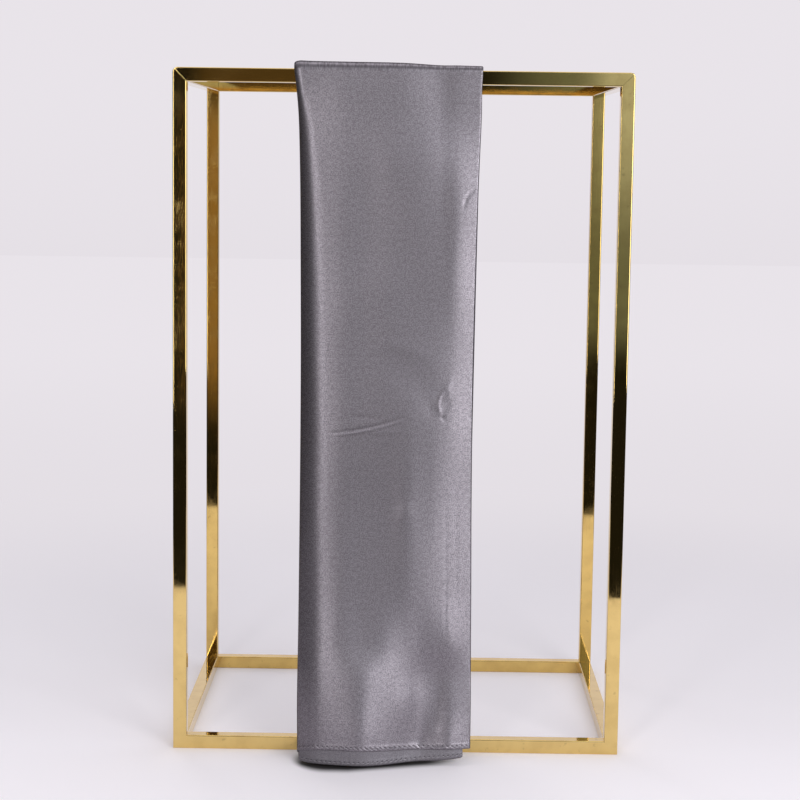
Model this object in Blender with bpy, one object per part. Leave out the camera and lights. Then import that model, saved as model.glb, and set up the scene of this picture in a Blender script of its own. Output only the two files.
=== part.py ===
"""A square satin scarf, folded into a strip and hung over the front top bar of a box-frame stand.

Metres, +Z up, +X to the right, +Y to the back. The origin is at the middle of the footprint, on the
surface that the stand stands on. The stand is twelve square tubes. The scarf is its outer leaf, which
runs from the front hem over the bar to the back hem and round the soft fold on the left, and the
hidden leaves inside that fold.
"""
import math
from typing import NamedTuple

import bmesh
import bpy
from mathutils import Matrix, Vector

# Stand
STAND_HEIGHT = 0.450
STAND_WIDTH = 0.297
STAND_DEPTH = 0.217
TUBE = 0.009
TUBE_EDGE_RADIUS = 0.0006
FRAME_CORNER_RADIUS = 0.0025
CORNER_CUTS = (0.25, 0.5, 0.75)
MITRE_ZONE = 0.0135
MITRE_STEPS = 24
GAP = 0.0003
CLOSE = 0.000001

# Scarf
CLOTH_WALL = 0.001
EDGE_BULGE = 0.0004
BAR_BEND_RADIUS = 0.001
CLOTH_REACH = 0.041
HEM_DEPTH = 0.004
HEM_STEP = 0.0004
HEM_RISE = 0.0005
LIFT_ZONE = 0.060
SHORTER_REAR = 0.006
PLUMP_LENGTH = 0.040
EDGE_ROLL_WIDTH = 0.017
FLAT_CELLS = 10
FOLD_CELLS = 8
BEND_CELLS = 4
FRONT_CELLS = 22
BACK_CELLS = 14
BACK_CROWDING = 1.35
HEM_BAND_ROWS = 2
TUCKED_ROWS = 1
MIDDLE_U = 0.40
RIDGE_U = 0.73

SHARP_ANGLE = math.radians(35)

# The stand's front face lies so that the whole part is centred on the origin
FRONT_Y = -(STAND_DEPTH - CLOTH_REACH) / 2


class Section(NamedTuple):
    """One level of a drop: the strip's edges, its fold and how far its middle stands off the bar."""

    height: float      # above the ground
    left: float        # X of the soft fold
    right: float       # X of the front pack's crisp fold
    puff: float        # half thickness of the soft fold
    slim: float        # half thickness at the right edge
    roll: float        # how far the right edge turns back
    off_right: float   # stand-off of the strip's middle at the right edge
    off_middle: float  # the same at MIDDLE_U of the width
    off_ridge: float   # the same at RIDGE_U of the width
    off_left: float    # the same at the soft fold


FRONT_SECTIONS = (
    Section(0.000, -0.0637, 0.0492, 0.0088, 0.0026, 0.0012, 0.0140, 0.0260, 0.0328, 0.0270),
    Section(0.040, -0.0643, 0.0492, 0.0092, 0.0026, 0.0016, 0.0126, 0.0226, 0.0288, 0.0238),
    Section(0.093, -0.0642, 0.0487, 0.0092, 0.0025, 0.0018, 0.0104, 0.0168, 0.0216, 0.0190),
    Section(0.158, -0.0642, 0.0478, 0.0086, 0.0025, 0.0018, 0.0078, 0.0114, 0.0146, 0.0142),
    Section(0.237, -0.0643, 0.0474, 0.0076, 0.0024, 0.0016, 0.0056, 0.0068, 0.0088, 0.0102),
    Section(0.300, -0.0649, 0.0479, 0.0064, 0.0024, 0.0012, 0.0042, 0.0047, 0.0058, 0.0074),
    Section(0.368, -0.0657, 0.0488, 0.0048, 0.0023, 0.0006, 0.0030, 0.0032, 0.0036, 0.0049),
    Section(0.412, -0.0668, 0.0502, 0.0034, 0.0022, 0.0001, 0.0023, 0.0024, 0.0025, 0.0035),
    Section(0.437, -0.0686, 0.0503, 0.0024, 0.0022, 0.0000, 0.0022, 0.0022, 0.0022, 0.0024),
    Section(0.450, -0.0702, 0.0508, 0.0022, 0.0022, 0.0000, 0.0022, 0.0022, 0.0022, 0.0022),
)

BACK_SECTIONS = (
    Section(0.000, -0.0652, 0.0482, 0.0086, 0.0027, 0.0008, 0.0058, 0.0092, 0.0120, 0.0132),
    Section(0.100, -0.0650, 0.0480, 0.0086, 0.0026, 0.0008, 0.0050, 0.0078, 0.0102, 0.0116),
    Section(0.230, -0.0652, 0.0484, 0.0072, 0.0024, 0.0006, 0.0040, 0.0052, 0.0068, 0.0084),
    Section(0.360, -0.0662, 0.0494, 0.0048, 0.0023, 0.0003, 0.0028, 0.0031, 0.0036, 0.0050),
    Section(0.432, -0.0684, 0.0503, 0.0025, 0.0022, 0.0000, 0.0022, 0.0022, 0.0022, 0.0025),
    Section(0.450, -0.0702, 0.0508, 0.0022, 0.0022, 0.0000, 0.0022, 0.0022, 0.0022, 0.0022),
)


class Leaf(NamedTuple):
    """One group of hidden leaves: its share of the thickness, its right edge and its two hems."""

    near: float          # share of the inner thickness where it starts, 0 behind the outer leaf
    far: float           # share where it ends
    inset: float         # how far its right edge lies inside its pack's edge
    in_front_pack: bool
    front_rise: float    # how far its front hem lies above the outer leaf's, in the same pack
    back_rise: float     # the same at the back hem


HIDDEN_LEAVES = (
    Leaf(0.00, 0.34, 0.0024, True, 0.0012, 0.0006),
    Leaf(0.34, 0.52, 0.0007, True, 0.0003, -0.0014),
    Leaf(0.52, 0.84, 0.0006, False, -0.0002, 0.0008),
    Leaf(0.84, 1.00, 0.0026, False, 0.0010, 0.0018),
)
FOLD_RISE = 0.0004


class HemPoint(NamedTuple):
    """Heights of the outer leaf's two hems at one place round the strip."""

    place: float       # 0 right edge, 1 to 2 round the soft fold, 3 right edge of the rear
    front: float       # height of the hem in front of the stand
    back: float        # height of the hem inside the stand


HEM_LINE = (
    HemPoint(0.0, 0.0077, 0.0150),
    HemPoint(0.4, 0.0092, 0.0154),
    HemPoint(0.8, 0.0116, 0.0152),
    HemPoint(1.0, 0.0109, 0.0146),
    HemPoint(1.5, 0.0062, 0.0128),
    HemPoint(2.0, 0.0014, 0.0106),
    HemPoint(3.0, 0.0008, 0.0100),
)


def smooth(value):
    """Ease a value from 0 to 1, flat at both ends."""
    value = min(max(value, 0.0), 1.0)
    return value * value * (3 - 2 * value)


def through(knots, values, place):
    """Read a smooth curve through some knots at one place."""
    last = len(knots) - 1
    place = min(max(place, knots[0]), knots[last])
    cell = max(i for i in range(last) if knots[i] <= place)
    slopes = []
    for i in (cell, cell + 1):
        low, high = max(i - 1, 0), min(i + 1, last)
        slopes.append((values[high] - values[low]) / (knots[high] - knots[low]))
    span = knots[cell + 1] - knots[cell]
    t = (place - knots[cell]) / span
    start, end = values[cell], values[cell + 1]
    curve = (2 * t**3 - 3 * t**2 + 1) * start + (3 * t**2 - 2 * t**3) * end
    return curve + span * ((t**3 - 2 * t**2 + t) * slopes[0] + (t**3 - t**2) * slopes[1])


def section_at(sections, height):
    """Interpolate a drop's table at one height."""
    knots = [row.height for row in sections]
    columns = zip(*sections)
    return Section(*(through(knots, list(column), height) for column in columns))


class Station(NamedTuple):
    """A place along the drape: a point beside the bar, the way out from it and the section there."""

    y: float
    z: float
    out_y: float
    out_z: float
    section: Section


BEND_TOP = STAND_HEIGHT + GAP - BAR_BEND_RADIUS
BEND_LENGTH = math.pi / 2 * BAR_BEND_RADIUS
FLAT_LENGTH = TUBE + 2 * GAP - 2 * BAR_BEND_RADIUS
FRONT_END = BEND_TOP
TOP_START = FRONT_END + BEND_LENGTH
TOP_END = TOP_START + FLAT_LENGTH
BACK_START = TOP_END + BEND_LENGTH


def station(length):
    """Place along the drape's inner line, by its length from the ground at the front."""
    if length <= FRONT_END:
        return Station(FRONT_Y - GAP, length, -1.0, 0.0, section_at(FRONT_SECTIONS, length))
    if length >= BACK_START:
        height = BEND_TOP - (length - BACK_START)
        return Station(FRONT_Y + TUBE + GAP, height, 1.0, 0.0, section_at(BACK_SECTIONS, height))
    top = section_at(FRONT_SECTIONS, STAND_HEIGHT)
    if length < TOP_START:
        centre_y = FRONT_Y - GAP + BAR_BEND_RADIUS
        angle = (length - FRONT_END) / BAR_BEND_RADIUS
    elif length <= TOP_END:
        centre_y = FRONT_Y - GAP + BAR_BEND_RADIUS + length - TOP_START
        angle = math.pi / 2
    else:
        centre_y = FRONT_Y + TUBE + GAP - BAR_BEND_RADIUS
        angle = math.pi / 2 + (length - TOP_END) / BAR_BEND_RADIUS
    out_y, out_z = -math.cos(angle), math.sin(angle)
    return Station(centre_y + BAR_BEND_RADIUS * out_y, BEND_TOP + BAR_BEND_RADIUS * out_z, out_y, out_z, top)


def place(at, x, off):
    """World point at X, a distance off the drape's inner line."""
    return Vector((x, at.y + off * at.out_y, at.z + off * at.out_z))


def strip_middle(row, x):
    """Stand-off of the strip's middle at X."""
    u = (row.right - x) / (row.right - row.left)
    rise = through((0.0, MIDDLE_U, RIDGE_U, 1.0), (row.off_right, row.off_middle, row.off_ridge, row.off_left), u)
    return rise - row.roll * (1 - smooth((row.right - x) / EDGE_ROLL_WIDTH))


def half_thickness(row, x):
    """Half the strip's thickness at X, to the right of the soft fold's round."""
    beyond = (x - row.left - row.puff) / PLUMP_LENGTH
    return row.slim + (row.puff - row.slim) * (1 - smooth(beyond))


def profile(row):
    """Outer points of the strip in one section, as pairs of X and stand-off.

    They run from the right edge along the front, round the soft fold and back along the rear.
    """
    flat_end = row.left + row.puff
    front, rear = [], []
    for cell in range(FLAT_CELLS + 1):
        x = row.right + (flat_end - row.right) * cell / FLAT_CELLS
        half = half_thickness(row, x)
        front.append((x, strip_middle(row, x) + half))
        rear_right = row.right - SHORTER_REAR
        x = rear_right + (flat_end - rear_right) * cell / FLAT_CELLS
        half = half_thickness(row, x)
        rear.append((x, strip_middle(row, x) - half))
    fold = []
    for cell in range(1, FOLD_CELLS):
        angle = math.pi / 2 - math.pi * cell / FOLD_CELLS
        x = row.left + row.puff * (1 - math.cos(angle))
        fold.append((x, strip_middle(row, x) + row.puff * math.sin(angle)))
    return front + fold + rear[::-1]


def inward(points, depth):
    """Move a section's points in from its outside by a depth."""
    moved = []
    for i, (x, off) in enumerate(points):
        before, after = points[max(i - 1, 0)], points[min(i + 1, len(points) - 1)]
        along_x, along_off = after[0] - before[0], after[1] - before[1]
        length = math.hypot(along_x, along_off)
        moved.append((x - along_off / length * depth, off + along_x / length * depth))
    return moved


def row_lengths(front_hem, back_hem):
    """Lengths along the drape of all rows, from one hem to the other."""
    hem_rows = (0.0, HEM_DEPTH, HEM_DEPTH + HEM_STEP)
    front = [front_hem + step for step in hem_rows]
    start = LIFT_ZONE
    for cell in range(FRONT_CELLS + 1):
        front.append(start + (FRONT_END - start) * cell / FRONT_CELLS)
    middle = (front_hem + HEM_DEPTH + HEM_STEP + LIFT_ZONE) / 2
    front.insert(len(hem_rows), middle)
    bends = [FRONT_END + BEND_LENGTH * i / BEND_CELLS for i in range(1, BEND_CELLS + 1)]
    bends += [TOP_END + BEND_LENGTH * i / BEND_CELLS for i in range(BEND_CELLS + 1)]
    end = BACK_START + BEND_TOP - back_hem
    back = []
    low = BACK_START + BEND_TOP - LIFT_ZONE
    for cell in range(1, BACK_CELLS + 1):
        back.append(BACK_START + (low - BACK_START) * (cell / BACK_CELLS) ** BACK_CROWDING)
    back.append((low + end - HEM_DEPTH - HEM_STEP) / 2)
    back += [end - step for step in reversed(hem_rows)]
    return front + bends + back


def is_hem_row(row, row_count):
    """Tell whether a row lies on one of the two raised hem bands."""
    return row < HEM_BAND_ROWS or row >= row_count - HEM_BAND_ROWS


def place_round(column):
    """Place round the strip of one of the outer leaf's columns, as HemPoint counts it."""
    if column <= FLAT_CELLS:
        return column / FLAT_CELLS
    if column <= FLAT_CELLS + FOLD_CELLS:
        return 1 + (column - FLAT_CELLS) / FOLD_CELLS
    return 2 + (column - FLAT_CELLS - FOLD_CELLS) / FLAT_CELLS


def hems_at(place):
    """Heights of the outer leaf's front and back hems at a place round the strip."""
    knots = [point.place for point in HEM_LINE]
    front = through(knots, [point.front for point in HEM_LINE], place)
    back = through(knots, [point.back for point in HEM_LINE], place)
    return front, back


def add_mesh(name, bm, collection, material):
    """Close a mesh, turn its faces outwards and put it in the scene as one object."""
    bmesh.ops.recalc_face_normals(bm, faces=bm.faces[:])
    mesh = bpy.data.meshes.new(name)
    bm.to_mesh(mesh)
    bm.free()
    mesh.materials.append(material)
    made = bpy.data.objects.new(name, mesh)
    collection.objects.link(made)
    return made


def shade_smooth(made):
    """Shade an object smooth, with its sharp edges kept."""
    made.data.shade_smooth()
    made.data.set_sharp_from_angle(angle=SHARP_ANGLE)


def outer_leaf(collection, material):
    """The leaf that shows: a wall round the soft fold, from the front hem to the back hem."""
    bm = bmesh.new()
    column_count = 2 * (FLAT_CELLS + 1) + FOLD_CELLS - 1
    lengths = [row_lengths(*hems_at(place_round(column))) for column in range(column_count)]
    row_count = len(lengths[0])
    rings = []
    for row in range(row_count):
        outside, inside = [], []
        for column in range(column_count):
            at = station(lengths[column][row])
            points = profile(at.section)
            rise = HEM_RISE if is_hem_row(row, row_count) else 0.0
            outside.append(bm.verts.new(place(at, *inward(points, -rise)[column])))
            inside.append(bm.verts.new(place(at, *inward(points, CLOTH_WALL)[column])))
        edges = []
        for column in (0, column_count - 1):
            middle = (outside[column].co + inside[column].co) / 2
            edges.append(bm.verts.new(middle + Vector((EDGE_BULGE, 0, 0))))
        rings.append(outside + [edges[1]] + inside[::-1] + [edges[0]])
    ring_size = len(rings[0])
    for low, high in zip(rings, rings[1:]):
        for i in range(ring_size):
            j = (i + 1) % ring_size
            bm.faces.new((low[i], low[j], high[j], high[i]))
    for ring in (rings[0], rings[-1]):
        outside, inside = ring[:column_count], ring[column_count + 1:-1][::-1]
        for i in range(column_count - 1):
            bm.faces.new((outside[i], outside[i + 1], inside[i + 1], inside[i]))
        bm.faces.new((outside[0], inside[0], ring[-1]))
        bm.faces.new((outside[-1], ring[column_count], inside[-1]))
    shade_smooth(add_mesh("scarf_outer_leaf", bm, collection, material))


def hidden_section(row, leaf_edges):
    """Lines of the hidden leaves in one section, front to rear, each from right to left.

    Every line has one point for each column. The last point is shared by all of them.
    """
    points = inward(profile(row), CLOTH_WALL + GAP)
    half_fold = FOLD_CELLS // 2
    column_count = FLAT_CELLS + half_fold + 1
    front = points[:column_count]
    rear = points[::-1][:column_count]
    lines = []
    for share in leaf_edges:
        line = [
            (f[0] + (r[0] - f[0]) * share, f[1] + (r[1] - f[1]) * share)
            for f, r in zip(front, rear)
        ]
        lines.append(line)
    return lines


def hidden_leaves(collection, material):
    """The leaves inside the fold, as one rounded solid with its hems and right edge in layers."""
    bm = bmesh.new()
    leaf_edges = [leaf.near for leaf in HIDDEN_LEAVES] + [HIDDEN_LEAVES[-1].far]
    column_count = FLAT_CELLS + FOLD_CELLS // 2 + 1
    last = column_count - 1
    round_start = FLAT_CELLS - 1
    row_count = len(row_lengths(*hems_at(0.0)))

    def leaf_point(leaf, line, column, row):
        """Point of one leaf on one line, column and row."""
        share = smooth((column - round_start) / (last - round_start))
        around = place_round(column)
        hems = hems_at(around if leaf.in_front_pack else 3 - around)
        hems = [
            hem + rise + (FOLD_RISE - rise) * share
            for hem, rise in zip(hems, (leaf.front_rise, leaf.back_rise))
        ]
        at = station(row_lengths(*hems)[row])
        points = hidden_section(at.section, leaf_edges)[line]
        x, off = points[column]
        if column == 0:
            shorter = 0.0 if leaf.in_front_pack and row > TUCKED_ROWS else SHORTER_REAR
            next_x, next_off = points[1]
            edge_x = at.section.right - shorter - leaf.inset
            off += (next_off - off) * (edge_x - x) / (next_x - x)
            x = edge_x
        return place(at, x, off)

    def row_ring(row):
        """Outer ring of one row: front, soft fold, rear and the stepped right edge."""
        first, final = HIDDEN_LEAVES[0], HIDDEN_LEAVES[-1]
        bottom = len(HIDDEN_LEAVES)
        front = [bm.verts.new(leaf_point(first, 0, c, row)) for c in range(last)]
        tip = bm.verts.new(leaf_point(first, 0, last, row))
        rear = [bm.verts.new(leaf_point(final, bottom, c, row)) for c in range(last)]
        steps = []
        for index, leaf in enumerate(HIDDEN_LEAVES):
            upper = front[0] if index == 0 else bm.verts.new(leaf_point(leaf, index, 0, row))
            is_last = index == bottom - 1
            lower = rear[0] if is_last else bm.verts.new(leaf_point(leaf, index + 1, 0, row))
            steps.append((upper, lower))
        return front, tip, rear, steps

    rows = [row_ring(row) for row in range(row_count)]
    loops = []
    for front, tip, rear, steps in rows:
        edge = [vert for pair in reversed(steps) for vert in reversed(pair)]
        loops.append(front + [tip] + rear[::-1] + edge[1:-1])
    for low, high in zip(loops, loops[1:]):
        for i in range(len(low)):
            j = (i + 1) % len(low)
            bm.faces.new((low[i], low[j], high[j], high[i]))

    for row, (front, tip, rear, steps) in ((0, rows[0]), (row_count - 1, rows[-1])):
        below = None
        for index, leaf in enumerate(HIDDEN_LEAVES):
            upper_line = [steps[index][0]]
            lower_line = [steps[index][1]]
            for column in range(1, last):
                if index == 0:
                    upper_line.append(front[column])
                else:
                    upper_line.append(bm.verts.new(leaf_point(leaf, index, column, row)))
                if index == len(HIDDEN_LEAVES) - 1:
                    lower_line.append(rear[column])
                else:
                    lower_line.append(bm.verts.new(leaf_point(leaf, index + 1, column, row)))
            for i in range(last - 1):
                bm.faces.new((upper_line[i], upper_line[i + 1], lower_line[i + 1], lower_line[i]))
            bm.faces.new((upper_line[-1], tip, lower_line[-1]))
            if below is not None:
                for i in range(last - 1):
                    bm.faces.new((below[i], below[i + 1], upper_line[i + 1], upper_line[i]))
                bm.faces.new((below[-1], tip, upper_line[-1]))
            below = lower_line
    shade_smooth(add_mesh("scarf_inner_leaves", bm, collection, material))


def squeezed(reach, across, rounded):
    """Place across a bar, moved in where the frame's outer corner is rounded.

    reach is the length from the frame's outer corner, and across runs from the bar's outer face.
    """
    if not rounded:
        return across
    inside = max(FRAME_CORNER_RADIUS - reach, 0.0)
    depth = FRAME_CORNER_RADIUS - math.sqrt(FRAME_CORNER_RADIUS**2 - inside**2)
    return depth + across * (TUBE - depth) / TUBE


def reach_on_mitre(across, rounded):
    """Length from the frame's outer corner at which a line along the bar meets the mitre."""
    reach = across
    for _ in range(MITRE_STEPS):
        reach = (reach + squeezed(reach, across, rounded)) / 2
    return reach


def shape_end(reach, across, rounded):
    """New reach and new place across of one point near a bar's mitred end."""
    end = reach_on_mitre(across, rounded)
    start = end + GAP / math.sqrt(2)
    if reach < CLOSE:
        return start, squeezed(end, across, rounded)
    moved = start + (MITRE_ZONE - start) * reach / MITRE_ZONE
    return moved, squeezed(moved, across, rounded)


def square_bar(length, inner_cuts):
    """A bar along X from 0 to its length, with rounded long edges and cuts across it."""
    bm = bmesh.new()
    to_place = Matrix.Translation((length / 2, 0, 0)) @ Matrix.Diagonal((length, TUBE, TUBE, 1))
    bmesh.ops.create_cube(bm, size=1, matrix=to_place)
    long_edges = [e for e in bm.edges if abs(e.verts[0].co.x - e.verts[1].co.x) > length / 2]
    bmesh.ops.bevel(bm, geom=long_edges, offset=TUBE_EDGE_RADIUS, segments=2, profile=0.5, affect="EDGES")
    for cut in inner_cuts:
        geometry = bm.verts[:] + bm.edges[:] + bm.faces[:]
        bmesh.ops.bisect_plane(bm, geom=geometry, plane_co=(cut, 0, 0), plane_no=(1, 0, 0), dist=CLOSE / 10)
    return bm


def plain_bar(name, start, along, length, collection, material):
    """A bar with square ends, along an axis from its start."""
    bm = square_bar(length, ())
    made = add_mesh(name, bm, collection, material)
    turn = Vector((1, 0, 0)).rotation_difference(Vector(along))
    made.rotation_euler = turn.to_euler()
    made.location = start
    shade_smooth(made)


def mitred_bar(name, corner, along, outward, length, rounded, collection, material):
    """A bar of a frame, from outer corner to outer corner.

    along runs from the corner down the bar, outward points out of the frame, and rounded tells
    which of its two ends have a rounded outer corner.
    """
    cuts = []
    for end in (0, 1):
        reaches = [MITRE_ZONE]
        if rounded[end]:
            reaches += [FRAME_CORNER_RADIUS * share for share in CORNER_CUTS]
        cuts += [reach if end == 0 else length - reach for reach in reaches]
    bm = square_bar(length, cuts)
    for vert in bm.verts:
        for end in (0, 1):
            reach = vert.co.x if end == 0 else length - vert.co.x
            if reach > MITRE_ZONE - CLOSE:
                continue
            reach, across = shape_end(reach, TUBE / 2 - vert.co.y, rounded[end])
            vert.co.x = reach if end == 0 else length - reach
            vert.co.y = TUBE / 2 - across
    made = add_mesh(name, bm, collection, material)
    x_axis, y_axis = Vector(along), Vector(outward)
    z_axis = x_axis.cross(y_axis)
    turn = Matrix((x_axis, y_axis, z_axis)).transposed()
    made.rotation_euler = turn.to_euler()
    made.location = Vector(corner) - Vector(outward) * TUBE / 2
    shade_smooth(made)


def square_frame(prefix, middle_y, collection, material):
    """Four mitred bars round one upright rectangle of the stand."""
    half, top = STAND_WIDTH / 2, STAND_HEIGHT
    bars = (
        ("top", (-half, middle_y, top), (1, 0, 0), (0, 0, 1), STAND_WIDTH, (True, True)),
        ("bottom", (-half, middle_y, 0), (1, 0, 0), (0, 0, -1), STAND_WIDTH, (False, False)),
        ("left", (-half, middle_y, 0), (0, 0, 1), (-1, 0, 0), STAND_HEIGHT, (False, True)),
        ("right", (half, middle_y, 0), (0, 0, 1), (1, 0, 0), STAND_HEIGHT, (False, True)),
    )
    for side, corner, along, outward, length, rounded in bars:
        mitred_bar(f"stand_{prefix}_{side}", corner, along, outward, length, rounded, collection, material)


def depth_bars(collection, material):
    """Four bars that join the front frame to the back frame."""
    start_y = FRONT_Y + TUBE + GAP
    length = STAND_DEPTH - 2 * TUBE - 2 * GAP
    for side, x in (("left", -1), ("right", 1)):
        for level, z in (("top", STAND_HEIGHT - TUBE / 2), ("bottom", TUBE / 2)):
            start = (x * (STAND_WIDTH - TUBE) / 2, start_y, z)
            plain_bar(f"stand_depth_{level}_{side}", start, (0, 1, 0), length, collection, material)


def principled(name, colour, roughness, metallic):
    """A plain material in one colour."""
    material = bpy.data.materials.new(name)
    material.use_nodes = True
    shader = material.node_tree.nodes["Principled BSDF"]
    shader.inputs["Base Color"].default_value = (*colour, 1)
    shader.inputs["Roughness"].default_value = roughness
    shader.inputs["Metallic"].default_value = metallic
    return material


def main():
    """Build the scarf and its stand."""
    for old in list(bpy.data.objects):
        bpy.data.objects.remove(old, do_unlink=True)
    collection = bpy.data.collections.new("square_scarf_on_stand")
    bpy.context.scene.collection.children.link(collection)
    brass = principled("polished_brass", (0.78, 0.56, 0.24), 0.12, 1.0)
    satin = principled("grey_satin", (0.17, 0.165, 0.18), 0.38, 0.0)
    square_frame("front", FRONT_Y + TUBE / 2, collection, brass)
    square_frame("back", FRONT_Y + STAND_DEPTH - TUBE / 2, collection, brass)
    depth_bars(collection, brass)
    outer_leaf(collection, satin)
    hidden_leaves(collection, satin)


main()
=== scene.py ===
"""Looks of a square satin scarf, folded into a strip and hung over a box-frame display stand.

Metres, +Z up, +X to the right, +Y to the back, with the origin on the floor under the middle of the
part. The cloth is one square sheet, folded in eighths. The outer leaf and the hidden leaves are two
thin shells that share the same strip, and the stand is two welded frames joined by four bars.
"""
from __future__ import annotations

import logging
import math
from collections.abc import Callable
from dataclasses import dataclass, field
from enum import Enum
from typing import NamedTuple

import bmesh
import bpy
import numpy as np
from mathutils import Matrix, Vector


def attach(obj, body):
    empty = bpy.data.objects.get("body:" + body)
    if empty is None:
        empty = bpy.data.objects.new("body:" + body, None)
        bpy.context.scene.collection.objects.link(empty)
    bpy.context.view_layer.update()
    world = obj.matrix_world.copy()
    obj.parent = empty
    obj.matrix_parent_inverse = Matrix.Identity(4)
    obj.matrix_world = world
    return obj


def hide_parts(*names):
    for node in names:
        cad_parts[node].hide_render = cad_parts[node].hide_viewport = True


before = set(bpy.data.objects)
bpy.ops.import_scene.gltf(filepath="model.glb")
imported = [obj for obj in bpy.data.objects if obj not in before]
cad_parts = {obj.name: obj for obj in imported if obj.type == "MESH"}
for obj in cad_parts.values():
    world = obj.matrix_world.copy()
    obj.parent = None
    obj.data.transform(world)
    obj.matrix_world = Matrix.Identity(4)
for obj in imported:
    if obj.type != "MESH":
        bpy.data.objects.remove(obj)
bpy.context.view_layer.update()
LOG = logging.getLogger("scarf_on_stand")

Colour = tuple[float, float, float, float]
Range = tuple[float, float]

# Stand
STAND_HEIGHT = 0.450
STAND_WIDTH = 0.297
STAND_DEPTH = 0.217
TUBE = 0.009
FRONT_Y = -0.088

# Line that the strip follows, as lengths from the floor in front, over the front top bar and down
GAP = 0.0003
BAR_BEND_RADIUS = 0.001
BEND_TOP = STAND_HEIGHT + GAP - BAR_BEND_RADIUS
BEND_LENGTH = math.pi / 2 * BAR_BEND_RADIUS
FLAT_LENGTH = TUBE + 2 * GAP - 2 * BAR_BEND_RADIUS
TOP_START = BEND_TOP + BEND_LENGTH
TOP_END = TOP_START + FLAT_LENGTH
BACK_START = TOP_END + BEND_LENGTH
TOP_MIDDLE = (TOP_START + TOP_END) / 2

# Strip: its rear side stops short on the right, and it thins away from the fold and over the bar
SHORTER_REAR = 0.006
PLUMP_LENGTH = 0.040
THINNING_START = 0.390
THINNING_RUN = 0.055
LEAF_SHARE = 0.27
EDGE_INSET = 0.0009

# Soft fold on the left: its round and its start count in the strip's half thickness there
FOLD_START = 2.05
FOLD_ROUND = 2.8
FOLD_POWER = 2.6
FOLD_TIP = 0.15
NEST_STEP = 0.0032

# Cloth, hems and stitches
CLOTH = 0.0003
LIFT_ZONE = 0.060
STITCH_PITCH = 0.0031
STITCH_ROW = 0.0018
HEM_STEPS = (0.0, 0.0003, 0.0009, STITCH_ROW, 0.0027, 0.0032, 0.0036, 0.0040, 0.0046)
STITCH_STEP = HEM_STEPS.index(STITCH_ROW)
THREAD_RISE = 0.00006

MM = 0.001


def smooth(value: np.ndarray) -> np.ndarray:
    """Ease values from 0 to 1, flat at both ends."""
    value = np.clip(value, 0.0, 1.0)
    return value * value * (3 - 2 * value)


def through(knots: np.ndarray, values: np.ndarray, places: np.ndarray) -> np.ndarray:
    """Read a smooth curve through some knots at many places.

    Args:
        knots: Where the values hold, rising.
        values: One value, or one row of values, for each knot.
        places: Where the curve is read.

    Returns:
        The values there, with the places' shape and then a row's.
    """
    knots, values = np.asarray(knots, float), np.asarray(values, float)
    last = len(knots) - 1
    places = np.clip(places, knots[0], knots[last])
    cell = np.clip(np.searchsorted(knots, places, side="right") - 1, 0, last - 1)
    low, high = np.maximum(np.arange(last + 1) - 1, 0), np.minimum(np.arange(last + 1) + 1, last)
    run = knots[high] - knots[low]
    slopes = (values[high] - values[low]) / run.reshape(-1, *[1] * (values.ndim - 1))
    span = knots[cell + 1] - knots[cell]
    t = (places - knots[cell]) / span
    if values.ndim > 1:
        span, t = span[..., None], t[..., None]
    curve = (2 * t**3 - 3 * t**2 + 1) * values[cell] + (3 * t**2 - 2 * t**3) * values[cell + 1]
    ease_in, ease_out = t**3 - 2 * t**2 + t, t**3 - t**2
    return curve + span * (ease_in * slopes[cell] + ease_out * slopes[cell + 1])


class Section(NamedTuple):
    """One level of a drop of the strip.

    Attributes:
        height: Height above the floor.
        left: X of the soft fold's tip.
        right: X of the front pack's crisp folds.
        puff: Half the strip's thickness beside the soft fold.
        slim: Half the strip's thickness beside the crisp folds.
        face: How far the strip's face stands off its line at each X of FACE_X, from left to right,
            in millimetres in the tables and in metres at a station.
    """

    height: float
    left: float
    right: float
    puff: float
    slim: float
    face: tuple[float, ...]

    def body(self, x: np.ndarray) -> np.ndarray:
        """Half the strip's thickness at X, before the soft fold narrows it."""
        beyond = (x - self.left - self.puff) / PLUMP_LENGTH
        return self.slim + (self.puff - self.slim) * (1 - smooth(beyond))

    def half_thickness(self, x: np.ndarray, fold_x: np.ndarray) -> np.ndarray:
        """Half the strip's thickness at X, narrowed as the soft fold is at another X.

        Args:
            x: Where it is wanted.
            fold_x: X at which the fold's narrowing is read.

        Returns:
            Half the thickness.
        """
        place = np.clip((fold_x - self.left) / (FOLD_ROUND * self.puff), 0.0, 1.0)
        rounded = np.sqrt((place**2 + 2 * place * FOLD_TIP) / (1 + 2 * FOLD_TIP))
        return self.body(x) * (1 - (1 - rounded) ** FOLD_POWER)

    def middle(self, x: np.ndarray) -> np.ndarray:
        """Stand-off of the strip's middle at X."""
        shares = through(FACE_X, np.eye(len(FACE_X)), x)
        return (shares * np.transpose(self.face)).sum(axis=-1) - self.body(x)


FACE_X = (-0.062, -0.040, -0.022, -0.007, 0.006, 0.016, 0.026, 0.036, 0.050)

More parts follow.
